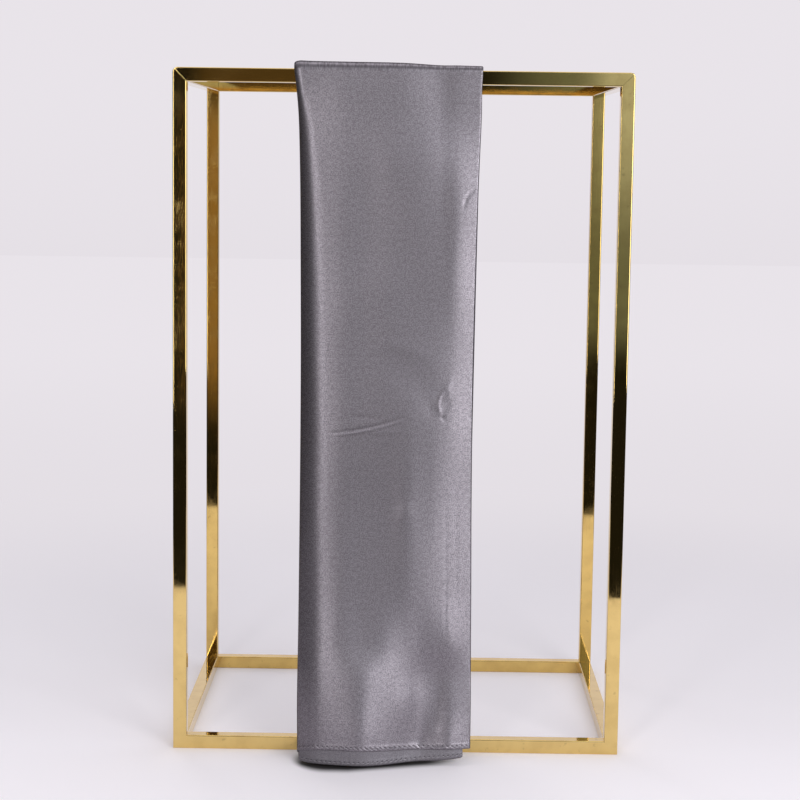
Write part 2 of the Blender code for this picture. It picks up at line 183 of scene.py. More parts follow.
FRONT_SECTIONS = (
    Section(0.000, -0.0637, 0.0492, 0.0067, 0.0026, (35.2, 38.6, 39.6, 36.4, 31.8, 30.0, 30.6, 30.3, 28.0)),
    Section(0.018, -0.0640, 0.0492, 0.0068, 0.0026, (34.0, 38.0, 39.2, 35.2, 30.8, 28.0, 28.4, 29.0, 26.5)),
    Section(0.040, -0.0643, 0.0492, 0.0068, 0.0026, (32.2, 35.7, 36.4, 33.3, 29.9, 26.5, 25.3, 25.6, 24.3)),
    Section(0.060, -0.0643, 0.0490, 0.0068, 0.0025, (29.8, 32.9, 33.3, 31.0, 27.7, 24.8, 23.4, 22.9, 21.5)),
    Section(0.080, -0.0642, 0.0488, 0.0068, 0.0025, (26.8, 29.5, 28.9, 28.1, 26.1, 24.5, 23.6, 22.6, 19.2)),
    Section(0.114, -0.0642, 0.0485, 0.0068, 0.0025, (22.6, 24.8, 24.3, 23.9, 23.4, 22.4, 21.0, 19.2, 16.2)),
    Section(0.167, -0.0642, 0.0478, 0.0067, 0.0025, (18.2, 19.7, 19.2, 18.9, 19.1, 18.3, 17.2, 15.5, 12.4)),
    Section(0.219, -0.0643, 0.0475, 0.0066, 0.0024, (14.4, 16.0, 15.8, 15.7, 15.6, 15.1, 14.4, 13.2, 10.6)),
    Section(0.271, -0.0646, 0.0476, 0.0064, 0.0024, (11.2, 12.3, 12.1, 12.2, 11.9, 11.5, 11.0, 10.2, 8.3)),
    Section(0.322, -0.0652, 0.0482, 0.0060, 0.0023, (8.3, 9.2, 8.9, 9.0, 8.9, 8.9, 8.8, 8.5, 6.5)),
    Section(0.365, -0.0657, 0.0488, 0.0053, 0.0023, (6.8, 7.5, 7.1, 7.4, 7.6, 7.4, 7.1, 7.1, 5.7)),
    Section(0.395, -0.0663, 0.0496, 0.0045, 0.0022, (5.9, 6.4, 6.5, 6.9, 6.7, 6.4, 5.8, 5.2, 3.9)),
    Section(0.420, -0.0672, 0.0503, 0.0034, 0.0022, (4.5, 5.4, 5.5, 5.5, 5.4, 5.3, 4.9, 4.4, 3.7)),
    Section(0.437, -0.0686, 0.0503, 0.0024, 0.0022, (4.5, 5.1, 5.1, 5.1, 5.1, 5.1, 4.9, 4.6, 4.1)),
    Section(0.450, -0.0702, 0.0508, 0.0022, 0.0022, (4.5, 4.5, 4.5, 4.5, 4.5, 4.5, 4.5, 4.3, 4.0)),
)

BACK_SECTIONS = (
    Section(0.000, -0.0652, 0.0482, 0.0080, 0.0027, (16.0, 15.5, 14.2, 12.8, 11.8, 11.0, 10.2, 9.4, 8.0)),
    Section(0.100, -0.0650, 0.0480, 0.0078, 0.0026, (13.8, 13.4, 12.4, 11.4, 10.6, 9.9, 9.2, 8.5, 7.2)),
    Section(0.230, -0.0652, 0.0484, 0.0068, 0.0024, (10.4, 10.2, 9.5, 8.7, 8.1, 7.6, 7.1, 6.7, 6.0)),
    Section(0.360, -0.0662, 0.0494, 0.0046, 0.0023, (6.7, 6.6, 6.3, 5.9, 5.6, 5.4, 5.3, 5.2, 4.8)),
    Section(0.432, -0.0684, 0.0503, 0.0025, 0.0022, (4.9, 4.9, 4.8, 4.8, 4.8, 4.8, 4.8, 4.7, 4.6)),
    Section(0.450, -0.0702, 0.0508, 0.0022, 0.0022, (4.5,) * len(FACE_X)),
)


class HemPoint(NamedTuple):
    """Heights of the hems at one place round the strip.

    Attributes:
        place: 0 at the right edge in front, 1 to 2 round the soft fold, 3 at the right edge behind.
        front: Height of the outer leaf's front hem.
        back: Height of the back hems.
        under: Height of the rear pack's front hem.
    """

    place: float
    front: float
    back: float
    under: float


HEM_LINE = (
    HemPoint(0.0, 0.0112, 0.0150, 0.0054),
    HemPoint(0.2, 0.0108, 0.0150, 0.0038),
    HemPoint(0.4, 0.0106, 0.0150, 0.0024),
    HemPoint(0.6, 0.0112, 0.0149, 0.0019),
    HemPoint(0.8, 0.0119, 0.0148, 0.0018),
    HemPoint(1.0, 0.0117, 0.0144, 0.0017),
    HemPoint(1.3, 0.0097, 0.0135, 0.0021),
    HemPoint(1.5, 0.0077, 0.0128, 0.0033),
    HemPoint(2.0, 0.0020, 0.0104, 0.0014),
    HemPoint(2.3, 0.0010, 0.0100, 0.0010),
    HemPoint(2.7, 0.0022, 0.0100, 0.0020),
    HemPoint(3.0, 0.0044, 0.0100, 0.0044),
)


class TopPoint(NamedTuple):
    """Share of the strip's stand-off that is left over the bar, at one X."""

    x: float
    share: float


TOP_LINE = (
    TopPoint(-0.0705, 1.30),
    TopPoint(-0.0675, 1.12),
    TopPoint(-0.0600, 1.02),
    TopPoint(-0.0350, 0.97),
    TopPoint(0.0000, 0.90),
    TopPoint(0.0240, 0.62),
    TopPoint(0.0360, 0.66),
    TopPoint(0.0510, 0.62),
)


class Side(Enum):
    """Stretch of the strip's section that a column of points lies on."""

    FRONT = "front"
    FOLD = "fold"
    REAR = "rear"
    FRONT_EDGE = "front edge"
    REAR_EDGE = "rear edge"


CREASE_STEPS = 33
CREASE_REACH = 4.0
CREASE_TAPER = 0.6
CREASE_END = 0.02


class Crease(NamedTuple):
    """A sharp little trough or ridge on one side of the outer leaf, along a curve of three points.

    A point is X and the length along the drape.
    """

    side: Side
    start: tuple[float, float]
    middle: tuple[float, float]
    end: tuple[float, float]
    width: float
    height: float

    def heights(self, x: np.ndarray, length: np.ndarray) -> np.ndarray:
        """Work out what the crease adds, which fades to nothing at its ends.

        Args:
            x: X of the points.
            length: Their lengths along the drape.

        Returns:
            A height for each point.
        """
        t = np.linspace(0, 1, CREASE_STEPS)[:, None]
        start, middle, end = (np.array(point) for point in (self.start, self.middle, self.end))
        path = (1 - t) ** 2 * start + 2 * t * (1 - t) * middle + t**2 * end
        tangent = 2 * (1 - t) * (middle - start) + 2 * t * (end - middle)
        tangent /= np.linalg.norm(tangent, axis=1, keepdims=True)
        here = np.stack([x, length], axis=-1)
        reach = CREASE_REACH * self.width
        near = np.all((here > path.min(0) - reach) & (here < path.max(0) + reach), axis=-1)
        heights = np.zeros_like(x)
        if not near.any():
            return heights
        offset = here[near][:, None, :] - path[None]
        nearest = np.argmin((offset**2).sum(-1), axis=1)
        offset = offset[np.arange(len(nearest)), nearest]
        way = tangent[nearest]
        beside = (way[:, 0] * offset[:, 1] - way[:, 1] * offset[:, 0]) / self.width
        beyond = (offset * way).sum(-1) / self.width
        taper = np.sin(math.pi * np.clip(t[nearest, 0], CREASE_END, 1 - CREASE_END)) ** CREASE_TAPER
        heights[near] = self.height * taper * np.exp(-(beside**2) - beyond**2)
        return heights


class Swell(NamedTuple):
    """A wide soft rise or hollow on one side of the outer leaf, turned by some degrees."""

    side: Side
    x: float
    length: float
    turn: float
    half_width: float
    half_length: float
    height: float

    def heights(self, x: np.ndarray, length: np.ndarray) -> np.ndarray:
        """Work out what the swell adds.

        Args:
            x: X of the points.
            length: Their lengths along the drape.

        Returns:
            A height for each point.
        """
        turn = math.radians(self.turn)
        dx, dl = x - self.x, length - self.length
        along = dx * math.sin(turn) + dl * math.cos(turn)
        beside = dx * math.cos(turn) - dl * math.sin(turn)
        return self.height * np.exp(-((beside / self.half_width) ** 2) - (along / self.half_length) ** 2)


SWELLS = (
    Swell(Side.FRONT, 0.0318, 0.2440, 8, 0.0026, 0.0060, 0.00016),
    Swell(Side.FRONT, 0.0305, 0.2350, 28, 0.0020, 0.0046, -0.00010),
    Swell(Side.FRONT, 0.0205, 0.2320, -15, 0.0032, 0.0050, -0.00013),
    Swell(Side.FRONT, 0.0045, 0.1660, 30, 0.0040, 0.0055, 0.00028),
    Swell(Side.FRONT, 0.0330, 0.0150, -20, 0.0080, 0.0070, 0.00030),
    Swell(Side.FRONT, -0.0150, 0.3100, 60, 0.0180, 0.0300, 0.00040),
    Swell(Side.FRONT, 0.0050, 0.2550, -50, 0.0120, 0.0260, -0.00035),
    Swell(Side.FRONT, -0.0200, 0.6600, 35, 0.0180, 0.0350, 0.00110),
    Swell(Side.FRONT, 0.0200, 0.7900, -25, 0.0140, 0.0400, 0.00080),
    Swell(Side.FRONT, -0.0350, 0.8300, 15, 0.0130, 0.0400, 0.00100),
    Swell(Side.REAR, 0.0000, 0.7600, 30, 0.0200, 0.0400, 0.00090),
)

CREASES = (
    Crease(Side.FRONT, (-0.0461, 0.2164), (-0.0220, 0.2178), (0.0057, 0.2279), 0.0009, -0.00033),
    Crease(Side.FRONT, (-0.0461, 0.2153), (-0.0220, 0.2166), (0.0057, 0.2268), 0.0009, 0.00032),
    Crease(Side.FRONT, (-0.0319, 0.2270), (-0.0220, 0.2271), (-0.0125, 0.2263), 0.0013, -0.00013),
    Crease(Side.FRONT, (-0.0253, 0.2162), (-0.0090, 0.2186), (0.0071, 0.2175), 0.0013, 0.00010),
    Crease(Side.FRONT, (0.0338, 0.2490), (0.0205, 0.2395), (0.0277, 0.2284), 0.0009, 0.00025),
    Crease(Side.FRONT, (0.0288, 0.2290), (0.0325, 0.2305), (0.0345, 0.2340), 0.0009, 0.00016),
    Crease(Side.FRONT, (0.0272, 0.2286), (0.0286, 0.2262), (0.0305, 0.2248), 0.0009, -0.00016),
    Crease(Side.FRONT, (0.0400, 0.3622), (0.0398, 0.3700), (0.0474, 0.3748), 0.0010, -0.00022),
    Crease(Side.FRONT, (0.0458, 0.2642), (0.0476, 0.2634), (0.0496, 0.2629), 0.0010, -0.00045),
    Crease(Side.FRONT, (0.0458, 0.2282), (0.0474, 0.2288), (0.0496, 0.2296), 0.0011, -0.00050),
    Crease(Side.FRONT, (-0.0220, 0.2772), (0.0000, 0.2745), (0.0210, 0.2652), 0.0024, 0.00013),
    Crease(Side.FRONT, (-0.0500, 0.1968), (-0.0330, 0.1988), (-0.0140, 0.1955), 0.0016, 0.00009),
    Crease(Side.FRONT, (-0.0400, 0.1905), (-0.0330, 0.1912), (-0.0270, 0.1902), 0.0013, 0.00006),
    Crease(Side.FRONT, (0.0311, 0.1760), (0.0318, 0.1200), (0.0322, 0.0660), 0.0011, -0.00016),
    Crease(Side.FRONT, (0.0345, 0.1600), (0.0352, 0.1200), (0.0362, 0.0850), 0.0011, -0.00007),
    Crease(Side.FRONT, (0.0368, 0.1900), (0.0388, 0.1300), (0.0399, 0.0700), 0.0012, -0.00019),
    Crease(Side.FRONT, (0.0425, 0.1450), (0.0432, 0.1100), (0.0436, 0.0800), 0.0011, -0.00007),
    Crease(Side.FRONT, (0.0235, 0.0300), (0.0262, 0.0265), (0.0275, 0.0222), 0.0011, -0.00020),
    Crease(Side.FRONT, (0.0275, 0.0226), (0.0288, 0.0206), (0.0306, 0.0240), 0.0010, 0.00014),
    Crease(Side.FRONT, (-0.0420, 0.6080), (-0.0150, 0.6010), (0.0130, 0.6150), 0.0046, 0.00055),
    Crease(Side.FRONT, (0.0180, 0.7060), (0.0320, 0.6960), (0.0470, 0.7010), 0.0042, 0.00050),
    Crease(Side.FRONT, (-0.0100, 0.7700), (-0.0040, 0.8150), (-0.0120, 0.8700), 0.0050, 0.00060),
    Crease(Side.FRONT, (0.0330, 0.5600), (0.0350, 0.6400), (0.0320, 0.7200), 0.0040, 0.00040),
    Crease(Side.REAR, (-0.0300, 0.2600), (-0.0050, 0.2500), (0.0200, 0.2620), 0.0050, 0.00050),
    Crease(Side.REAR, (-0.0200, 0.6900), (0.0050, 0.7050), (0.0300, 0.6950), 0.0055, 0.00040),
)


class Station(NamedTuple):
    """Places along the strip's line, the way out from it and the strip's sections there."""

    y: np.ndarray
    z: np.ndarray
    out_y: np.ndarray
    out_z: np.ndarray
    row: Section
    over_bar: np.ndarray


def stations(lengths: np.ndarray) -> Station:
    """Find places along the strip's line.

    Args:
        lengths: Lengths from the floor at the front, up, over the bar and down behind it.

    Returns:
        The stations, as arrays of the same shape.
    """
    front = lengths < TOP_MIDDLE
    level = np.where(front, lengths, BEND_TOP - (lengths - BACK_START))
    height = np.clip(level, 0.0, STAND_HEIGHT)
    tables = [np.array([(*row[:-1], *row.face) for row in rows]) for rows in (FRONT_SECTIONS, BACK_SECTIONS)]
    before, behind = (through(table[:, 0], table, height) for table in tables)
    values = np.moveaxis(np.where(front[..., None], before, behind), -1, 0)
    row = Section(*values[: -len(FACE_X)], values[-len(FACE_X) :] * MM)
    turns = [np.clip((lengths - start) / BAR_BEND_RADIUS, 0.0, math.pi / 2) for start in (BEND_TOP, TOP_END)]
    angle = turns[0] + turns[1]
    out_y, out_z = -np.cos(angle), np.sin(angle)
    along_top = np.clip(lengths - TOP_START, 0.0, FLAT_LENGTH)
    y = FRONT_Y - GAP + BAR_BEND_RADIUS + along_top + BAR_BEND_RADIUS * out_y
    z = np.minimum(level, BEND_TOP) + BAR_BEND_RADIUS * out_z
    return Station(y, z, out_y, out_z, row, smooth((height - THINNING_START) / THINNING_RUN))


@dataclass(frozen=True)
class Run:
    """Columns of points spread evenly over one side of a leaf.

    Attributes:
        side: Where they lie.
        cells: How many columns there are, without the one at the end.
        start: Place of the first, from the right edge to the fold in front, round the fold, and
            back to the right behind, or round an edge.
        end: Place where the next run starts.
        depth: How many leaves lie outside them.
        depth_to: At an edge, how many leaves lie outside the leaf that it leads to.
        inset: How far short of the strip's right edge they begin.
        rise_front: How much higher the front hem lies here.
        rise_back: How much higher the back hem lies here.
        under: Whether the front hem is the rear pack's.
    """

    side: Side
    cells: int
    start: float
    end: float
    depth: int = 0
    depth_to: int = 0
    inset: float = 0.0
    rise_front: float = 0.0
    rise_back: float = 0.0
    under: bool = False

    def columns(self) -> list[Column]:
        """Its columns."""
        steps = (cell / self.cells for cell in range(self.cells))
        return [Column(self, self.start + (self.end - self.start) * step) for step in steps]


@dataclass(frozen=True)
class Column:
    """One line of cloth that runs along the whole drape, from the front hem to the back hem."""

    run: Run
    t: float

    def hems(self) -> tuple[float, float]:
        """Heights of this line's front hem and back hem.

        Returns:
            The two heights.
        """
        starts = {Side.FRONT: 0.0, Side.FOLD: 1.0, Side.REAR: 2.0}
        edges = {Side.FRONT_EDGE: 0.0, Side.REAR_EDGE: 3.0}
        place = starts[self.run.side] + self.t if self.run.side in starts else edges[self.run.side]
        places, front, back, under = np.transpose(HEM_LINE)
        rise_front = float(through(places, under if self.run.under else front, place))
        return rise_front + self.run.rise_front, float(through(places, back, place)) + self.run.rise_back

    def trace(self, lengths: np.ndarray) -> np.ndarray:
        """Follow the line along the drape.

        Args:
            lengths: Lengths along the strip's line.

        Returns:
            The points, one row each.
        """
        at = stations(lengths)
        row, run = at.row, self.run
        share, share_to = run.depth * LEAF_SHARE, run.depth_to * LEAF_SHARE
        in_front = run.side in (Side.FRONT, Side.FRONT_EDGE)
        way = 1 if in_front else -1
        fold_x = row.left + FOLD_START * row.puff
        right = row.right - run.inset - (0.0 if in_front else SHORTER_REAR)
        if run.side is Side.FOLD:
            angle, shift = math.pi * (0.5 - self.t), share * NEST_STEP
            way = 1 if angle > 0 else -1
            x = fold_x - (fold_x - row.left - shift) * math.cos(angle)
            off = row.middle(x) + way * (1 - share) * row.half_thickness(x, x - shift)
        elif run.side in (Side.FRONT, Side.REAR):
            x = right + (fold_x - right) * (self.t if in_front else 1 - self.t)
            off = row.middle(x) + way * (1 - share) * row.half_thickness(x, x)
        else:
            half = row.half_thickness(right, right)
            centre = row.middle(right) + way * (1 - (share + share_to) / 2) * half
            radius = way * (share_to - share) / 2 * half
            x = right + np.abs(radius) * math.sin(math.pi * self.t)
            off = centre + radius * math.cos(math.pi * self.t)
        off = off * (1 + (through(*np.transpose(TOP_LINE), x) - 1) * at.over_bar)
        return np.stack([x, at.y + off * at.out_y, at.z + off * at.out_z], axis=-1)


OUTER_RUNS = (
    Run(Side.REAR, 16, 1.0, 0.0),
    Run(Side.FOLD, 24, 1.0, 0.0),
    Run(Side.FRONT, 42, 1.0, 0.28, inset=EDGE_INSET),
    Run(Side.FRONT, 34, 0.28, 0.0, inset=EDGE_INSET),
    Run(Side.FRONT_EDGE, 8, 0.0, 1.0, depth_to=3, inset=EDGE_INSET),
)

INNER_RUNS = (
    Run(Side.FRONT, 16, 0.0, 1.0, 3, inset=EDGE_INSET, rise_front=0.0003, rise_back=-0.0012),
    Run(Side.FOLD, 12, 0.0, 1.0, 3, rise_front=0.0003),
    Run(Side.REAR, 16, 0.0, 1.0, 3, inset=0.0006, rise_front=-0.0003, rise_back=0.0006),
    Run(Side.REAR_EDGE, 6, 0.0, 1.0, 3, depth_to=2, inset=0.0006),
    Run(Side.REAR, 16, 1.0, 0.0, 2, inset=0.0006, rise_front=0.0004, rise_back=0.0010),
    Run(Side.FOLD, 12, 1.0, 0.0, 2, rise_front=0.0004),
    Run(Side.FRONT, 16, 1.0, 0.0, 2, inset=0.0052, rise_front=0.0008, rise_back=0.0006, under=True),
    Run(Side.FRONT_EDGE, 6, 0.0, 1.0, 2, depth_to=1, inset=0.0052, rise_front=0.0004, under=True),
    Run(Side.FRONT, 24, 0.0, 1.0, 1, inset=0.0052, rise_back=0.0006, under=True),
    Run(Side.FOLD, 16, 0.0, 1.0, 1, under=True),
    Run(Side.REAR, 16, 0.0, 1.0, 1, inset=0.0026, rise_front=0.0010, rise_back=0.0018),
)


@dataclass(frozen=True)
class RowPlan:
    """How densely rows of points lie along the drape.

    Attributes:
        lift_cells: Cells from the front hem up to where the rows run level.
        front: Pairs of a length and the level rows' spacing there, up the front.
        back_cells: Cells of level rows down the back.
        back_lift_cells: Cells from there to the back hem.
        bend_cells: Cells in each bend over the bar's edges.
        top_cells: Cells on the bar's top.
        samples: Steps that the spacing is summed over.
    """

    lift_cells: int
    front: tuple[tuple[float, float], ...]
    back_cells: int
    back_lift_cells: int = 10
    bend_cells: int = 5
    top_cells: int = 3
    samples: int = 4000

    def front_levels(self) -> np.ndarray:
        """Lengths of the rows between the lift zone and the bar.

        Returns:
            The lengths, rising.
        """
        fine = np.linspace(LIFT_ZONE, BEND_TOP, self.samples)
        spacing = np.interp(fine, *np.transpose(self.front))
        count = np.concatenate([[0], np.cumsum(np.diff(fine) / spacing[:-1])])
        cells = int(round(count[-1]))
        return np.interp(np.linspace(0, count[-1], cells + 1), count, fine)

    def lengths(self, columns: list[Column]) -> np.ndarray:
        """Lengths of all rows along all columns.

        Args:
            columns: The cloth's lines, which end at hems of different heights.

        Returns:
            An array with a row for each row of points and a column for each line.
        """
        front, back = np.transpose([column.hems() for column in columns])
        end, low_back = BACK_START + BEND_TOP - back, BACK_START + BEND_TOP - LIFT_ZONE
        first, last = front + HEM_STEPS[-1], end - HEM_STEPS[-1]
        lift = np.arange(1, self.lift_cells) / self.lift_cells
        back_lift = np.arange(1, self.back_lift_cells) / self.back_lift_cells
        bend = np.linspace(0, BEND_LENGTH, self.bend_cells + 1)
        level = np.concatenate([
            self.front_levels(),
            BEND_TOP + bend[1:],
            np.linspace(TOP_START, TOP_END, self.top_cells + 1)[1:-1],
            TOP_END + bend,
            np.linspace(BACK_START, low_back, self.back_cells + 1)[1:],
        ])
        rows = [front + step for step in HEM_STEPS]
        rows += [first + (LIFT_ZONE - first) * share for share in lift]
        rows += [np.full_like(front, length) for length in level]
        rows += [low_back + (last - low_back) * share for share in back_lift]
        rows += [end - step for step in reversed(HEM_STEPS)]
        return np.array(rows)


OUTER_PLAN = RowPlan(
    lift_cells=30,
    front=(
        (0.060, 0.0019), (0.100, 0.0024), (0.200, 0.0024), (0.212, 0.0008), (0.232, 0.0008),
        (0.244, 0.0011), (0.256, 0.0026), (0.350, 0.0024), (0.360, 0.0012), (0.376, 0.0012),
        (0.388, 0.0024), (0.430, 0.0020), (0.450, 0.0012),
    ),
    back_cells=100,
)
INNER_PLAN = RowPlan(
    lift_cells=12,
    front=((0.060, 0.0055), (0.400, 0.0055), (0.450, 0.0030)),
    back_cells=70,
)


@dataclass(frozen=True)
class HemSizes:
    """Sizes of a turned and sewn hem.

    Attributes:
        flat: Depth of its flat part, measured from the cloth's end.
        slope: Length of the slope down to the single cloth.
        rise: How far each of its faces stands out.
        valley: Depth of the valley that the stitches draw, at the middle of its changes.
        valley_change: How much that depth changes along the hem with each wave.
        valley_width: The valley's half width.
        waves: Length and start of the waves, which make the valley uneven.
        end_share: Share of the thickness that is left at the very end.
    """

    flat: float = 0.0034
    slope: float = 0.0010
    rise: float = 0.00012
    valley: float = 0.00009
    valley_change: float = 0.00003
    valley_width: float = 0.0011
    waves: tuple[tuple[float, float], ...] = ((0.011, 0.0), (0.017, 1.1))
    end_share: float = 0.35


HEM = HemSizes()


def grid_normals(points: np.ndarray) -> np.ndarray:
    """Unit normals of a grid of points, from its rows and columns."""
    normals = np.cross(np.gradient(points, axis=0), np.gradient(points, axis=1))
    return normals / np.maximum(np.linalg.norm(normals, axis=-1, keepdims=True), 1e-12)


def add_object(name: str, data: bpy.types.ID) -> bpy.types.Object:
    """Put a new object in the scene, at the origin.

    Args:
        name: Its name.
        data: Its mesh, light or camera.

    Returns:
        The new object.
    """
    made = bpy.data.objects.new(name, data)
    bpy.context.scene.collection.objects.link(made)
    return made


def turn_outwards(mesh: bpy.types.Mesh) -> None:
    """Flip a closed mesh if it is inside out.

    Args:
        mesh: The mesh, which is changed in place.
    """
    mesh.calc_loop_triangles()
    points = np.zeros(len(mesh.vertices) * 3)
    mesh.vertices.foreach_get("co", points)
    corners = np.zeros(len(mesh.loop_triangles) * 3, np.int32)
    mesh.loop_triangles.foreach_get("vertices", corners)
    a, b, c = np.moveaxis(points.reshape(-1, 3)[corners.reshape(-1, 3)], 1, 0)
    if (a * np.cross(b, c)).sum() < 0:
        mesh.flip_normals()


@dataclass
class ClothSheet:
    """A thin shell of cloth on a grid of lines along the drape and rows across it."""

    name: str
    runs: tuple[Run, ...]
    plan: RowPlan
    columns: list[Column] = field(init=False)
    lengths: np.ndarray = field(init=False)
    outer: np.ndarray = field(init=False)
    inner: np.ndarray = field(init=False)
    normals: np.ndarray = field(init=False)
    across: np.ndarray = field(init=False)

    def __post_init__(self) -> None:
        """Place the grid on the strip, with hem bands at both ends."""
        last = self.runs[-1]
        self.columns = sum((run.columns() for run in self.runs), []) + [Column(last, last.end)]
        self.lengths = self.plan.lengths(self.columns)
        lines = [column.trace(self.lengths[:, i]) for i, column in enumerate(self.columns)]
        points = np.stack(lines, axis=1)
        self.normals = grid_normals(points)
        level_row = len(points) // 3
        in_front = next(i for i, column in enumerate(self.columns) if column.run.side is Side.FRONT)
        if self.normals[level_row, in_front, 1] > 0:
            self.normals = -self.normals
        points = points + self.normals * self.relief(points)[..., None]
        steps = np.linalg.norm(np.diff(points[level_row], axis=0), axis=1)
        self.across = np.concatenate([[0], np.cumsum(steps)])
        band, pucker = self.hem_band() * HEM.rise, self.pucker()
        self.outer = points + self.normals * (band + pucker)[..., None]
        self.inner = points - self.normals * (CLOTH + band - pucker)[..., None]
        for row in (0, -1):
            middle = (self.outer[row] + self.inner[row]) / 2
            self.outer[row] = middle + (self.outer[row] - middle) * HEM.end_share
            self.inner[row] = middle + (self.inner[row] - middle) * HEM.end_share

    def relief(self, points: np.ndarray) -> np.ndarray:
        """Heights of the folds on the sheet; a plain sheet has none."""
        return np.zeros(points.shape[:2])

    def from_hem(self) -> np.ndarray:
        """Distance of every point from the nearer of its line's two hems."""
        return np.minimum(self.lengths - self.lengths[0], self.lengths[-1] - self.lengths)

    def hem_band(self) -> np.ndarray:
        """1 on the turned hems and 0 elsewhere, with a short slope between them."""
        return 1 - smooth((self.from_hem() - HEM.flat) / HEM.slope)

    def pucker(self) -> np.ndarray:
        """Shallow valley that the stitches draw along the hems, uneven along its length.

        Returns:
            A height for each point.
        """
        wave = sum(np.cos(2 * math.pi * self.across / length + start) for length, start in HEM.waves)
        near = np.exp(-(((self.from_hem() - STITCH_ROW) / HEM.valley_width) ** 2))
        return near * (HEM.valley_change * wave[None, :] - HEM.valley)

    def seam(self, row: int, wanted: Callable[[Run], bool], way: int = 1) -> np.ndarray:
        """Line of a row of stitches, just proud of the cloth.

        Args:
            row: The grid's row that it follows.
            wanted: Tells which runs it crosses.
            way: 1 on the outer face and -1 on the inner face.

        Returns:
            The line's points, one row each.
        """
        chosen = [i for i, column in enumerate(self.columns) if wanted(column.run)]
        face = self.outer if way > 0 else self.inner
        return face[row, chosen] + way * self.normals[row, chosen] * THREAD_RISE

    def build(self, face: bpy.types.Material, back: bpy.types.Material) -> bpy.types.Object:
        """Make the closed shell.

        Args:
            face: Material of the outer side.
            back: Material of the inner side and of the edges.

        Returns:
            The new object.
        """
        rows, count = self.outer.shape[:2]
        points = np.concatenate([self.outer.reshape(-1, 3), self.inner.reshape(-1, 3)])
        index = np.arange(rows * count).reshape(rows, count)
        cells = (index[:-1, :-1], index[:-1, 1:], index[1:, 1:], index[1:, :-1])
        front = np.stack(cells, axis=-1).reshape(-1, 4)
        behind = front[:, ::-1] + rows * count
        rims = []
        for line in (index[0], index[-1][::-1], index[:, 0][::-1], index[:, -1]):
            far = line + rows * count
            rims.append(np.stack([line[1:], line[:-1], far[:-1], far[1:]], axis=-1))
        faces = np.concatenate([front, behind, *rims])
        mesh = bpy.data.meshes.new(self.name)
        mesh.from_pydata(points.tolist(), [], faces.tolist())
        mesh.materials.append(face)
        mesh.materials.append(back)
        mesh.polygons.foreach_set("material_index", (np.arange(len(faces)) >= len(front)).astype(np.int32))
        self.lay_maps(mesh)
        mesh.shade_smooth()
        mesh.update()
        turn_outwards(mesh)
        return add_object(self.name, mesh)

    def lay_maps(self, mesh: bpy.types.Mesh) -> None:
        """Map the cloth flat, in metres: across the strip, and along it or from the nearer hem.

        Args:
            mesh: The shell, whose two faces get the same maps.
        """
        across = np.broadcast_to(self.across[None, :], self.lengths.shape)
        corners = np.zeros(len(mesh.loops), np.int32)
        mesh.loops.foreach_get("vertex_index", corners)
        for name, along in (("UVMap", self.lengths), ("HemMap", self.from_hem())):
            flat = np.stack([across, along], axis=-1).reshape(-1, 2)
            layer = mesh.uv_layers.new(name=name)
            layer.data.foreach_set("uv", flat[corners % len(flat)].astype(np.float32).ravel())


@dataclass
class OuterLeaf(ClothSheet):
    """The leaf that shows, with its folds and creases."""

    def relief(self, points: np.ndarray) -> np.ndarray:
        """Heights of the swells and creases on its front and rear sides.

        Args:
            points: The grid's points.

        Returns:
            A height for each point.
        """
        heights = np.zeros(points.shape[:2])
        for fold in SWELLS + CREASES:
            on_side = np.array([column.run.side is fold.side for column in self.columns])
            heights[:, on_side] += fold.heights(points[:, on_side, 0], self.lengths[:, on_side])
        return heights


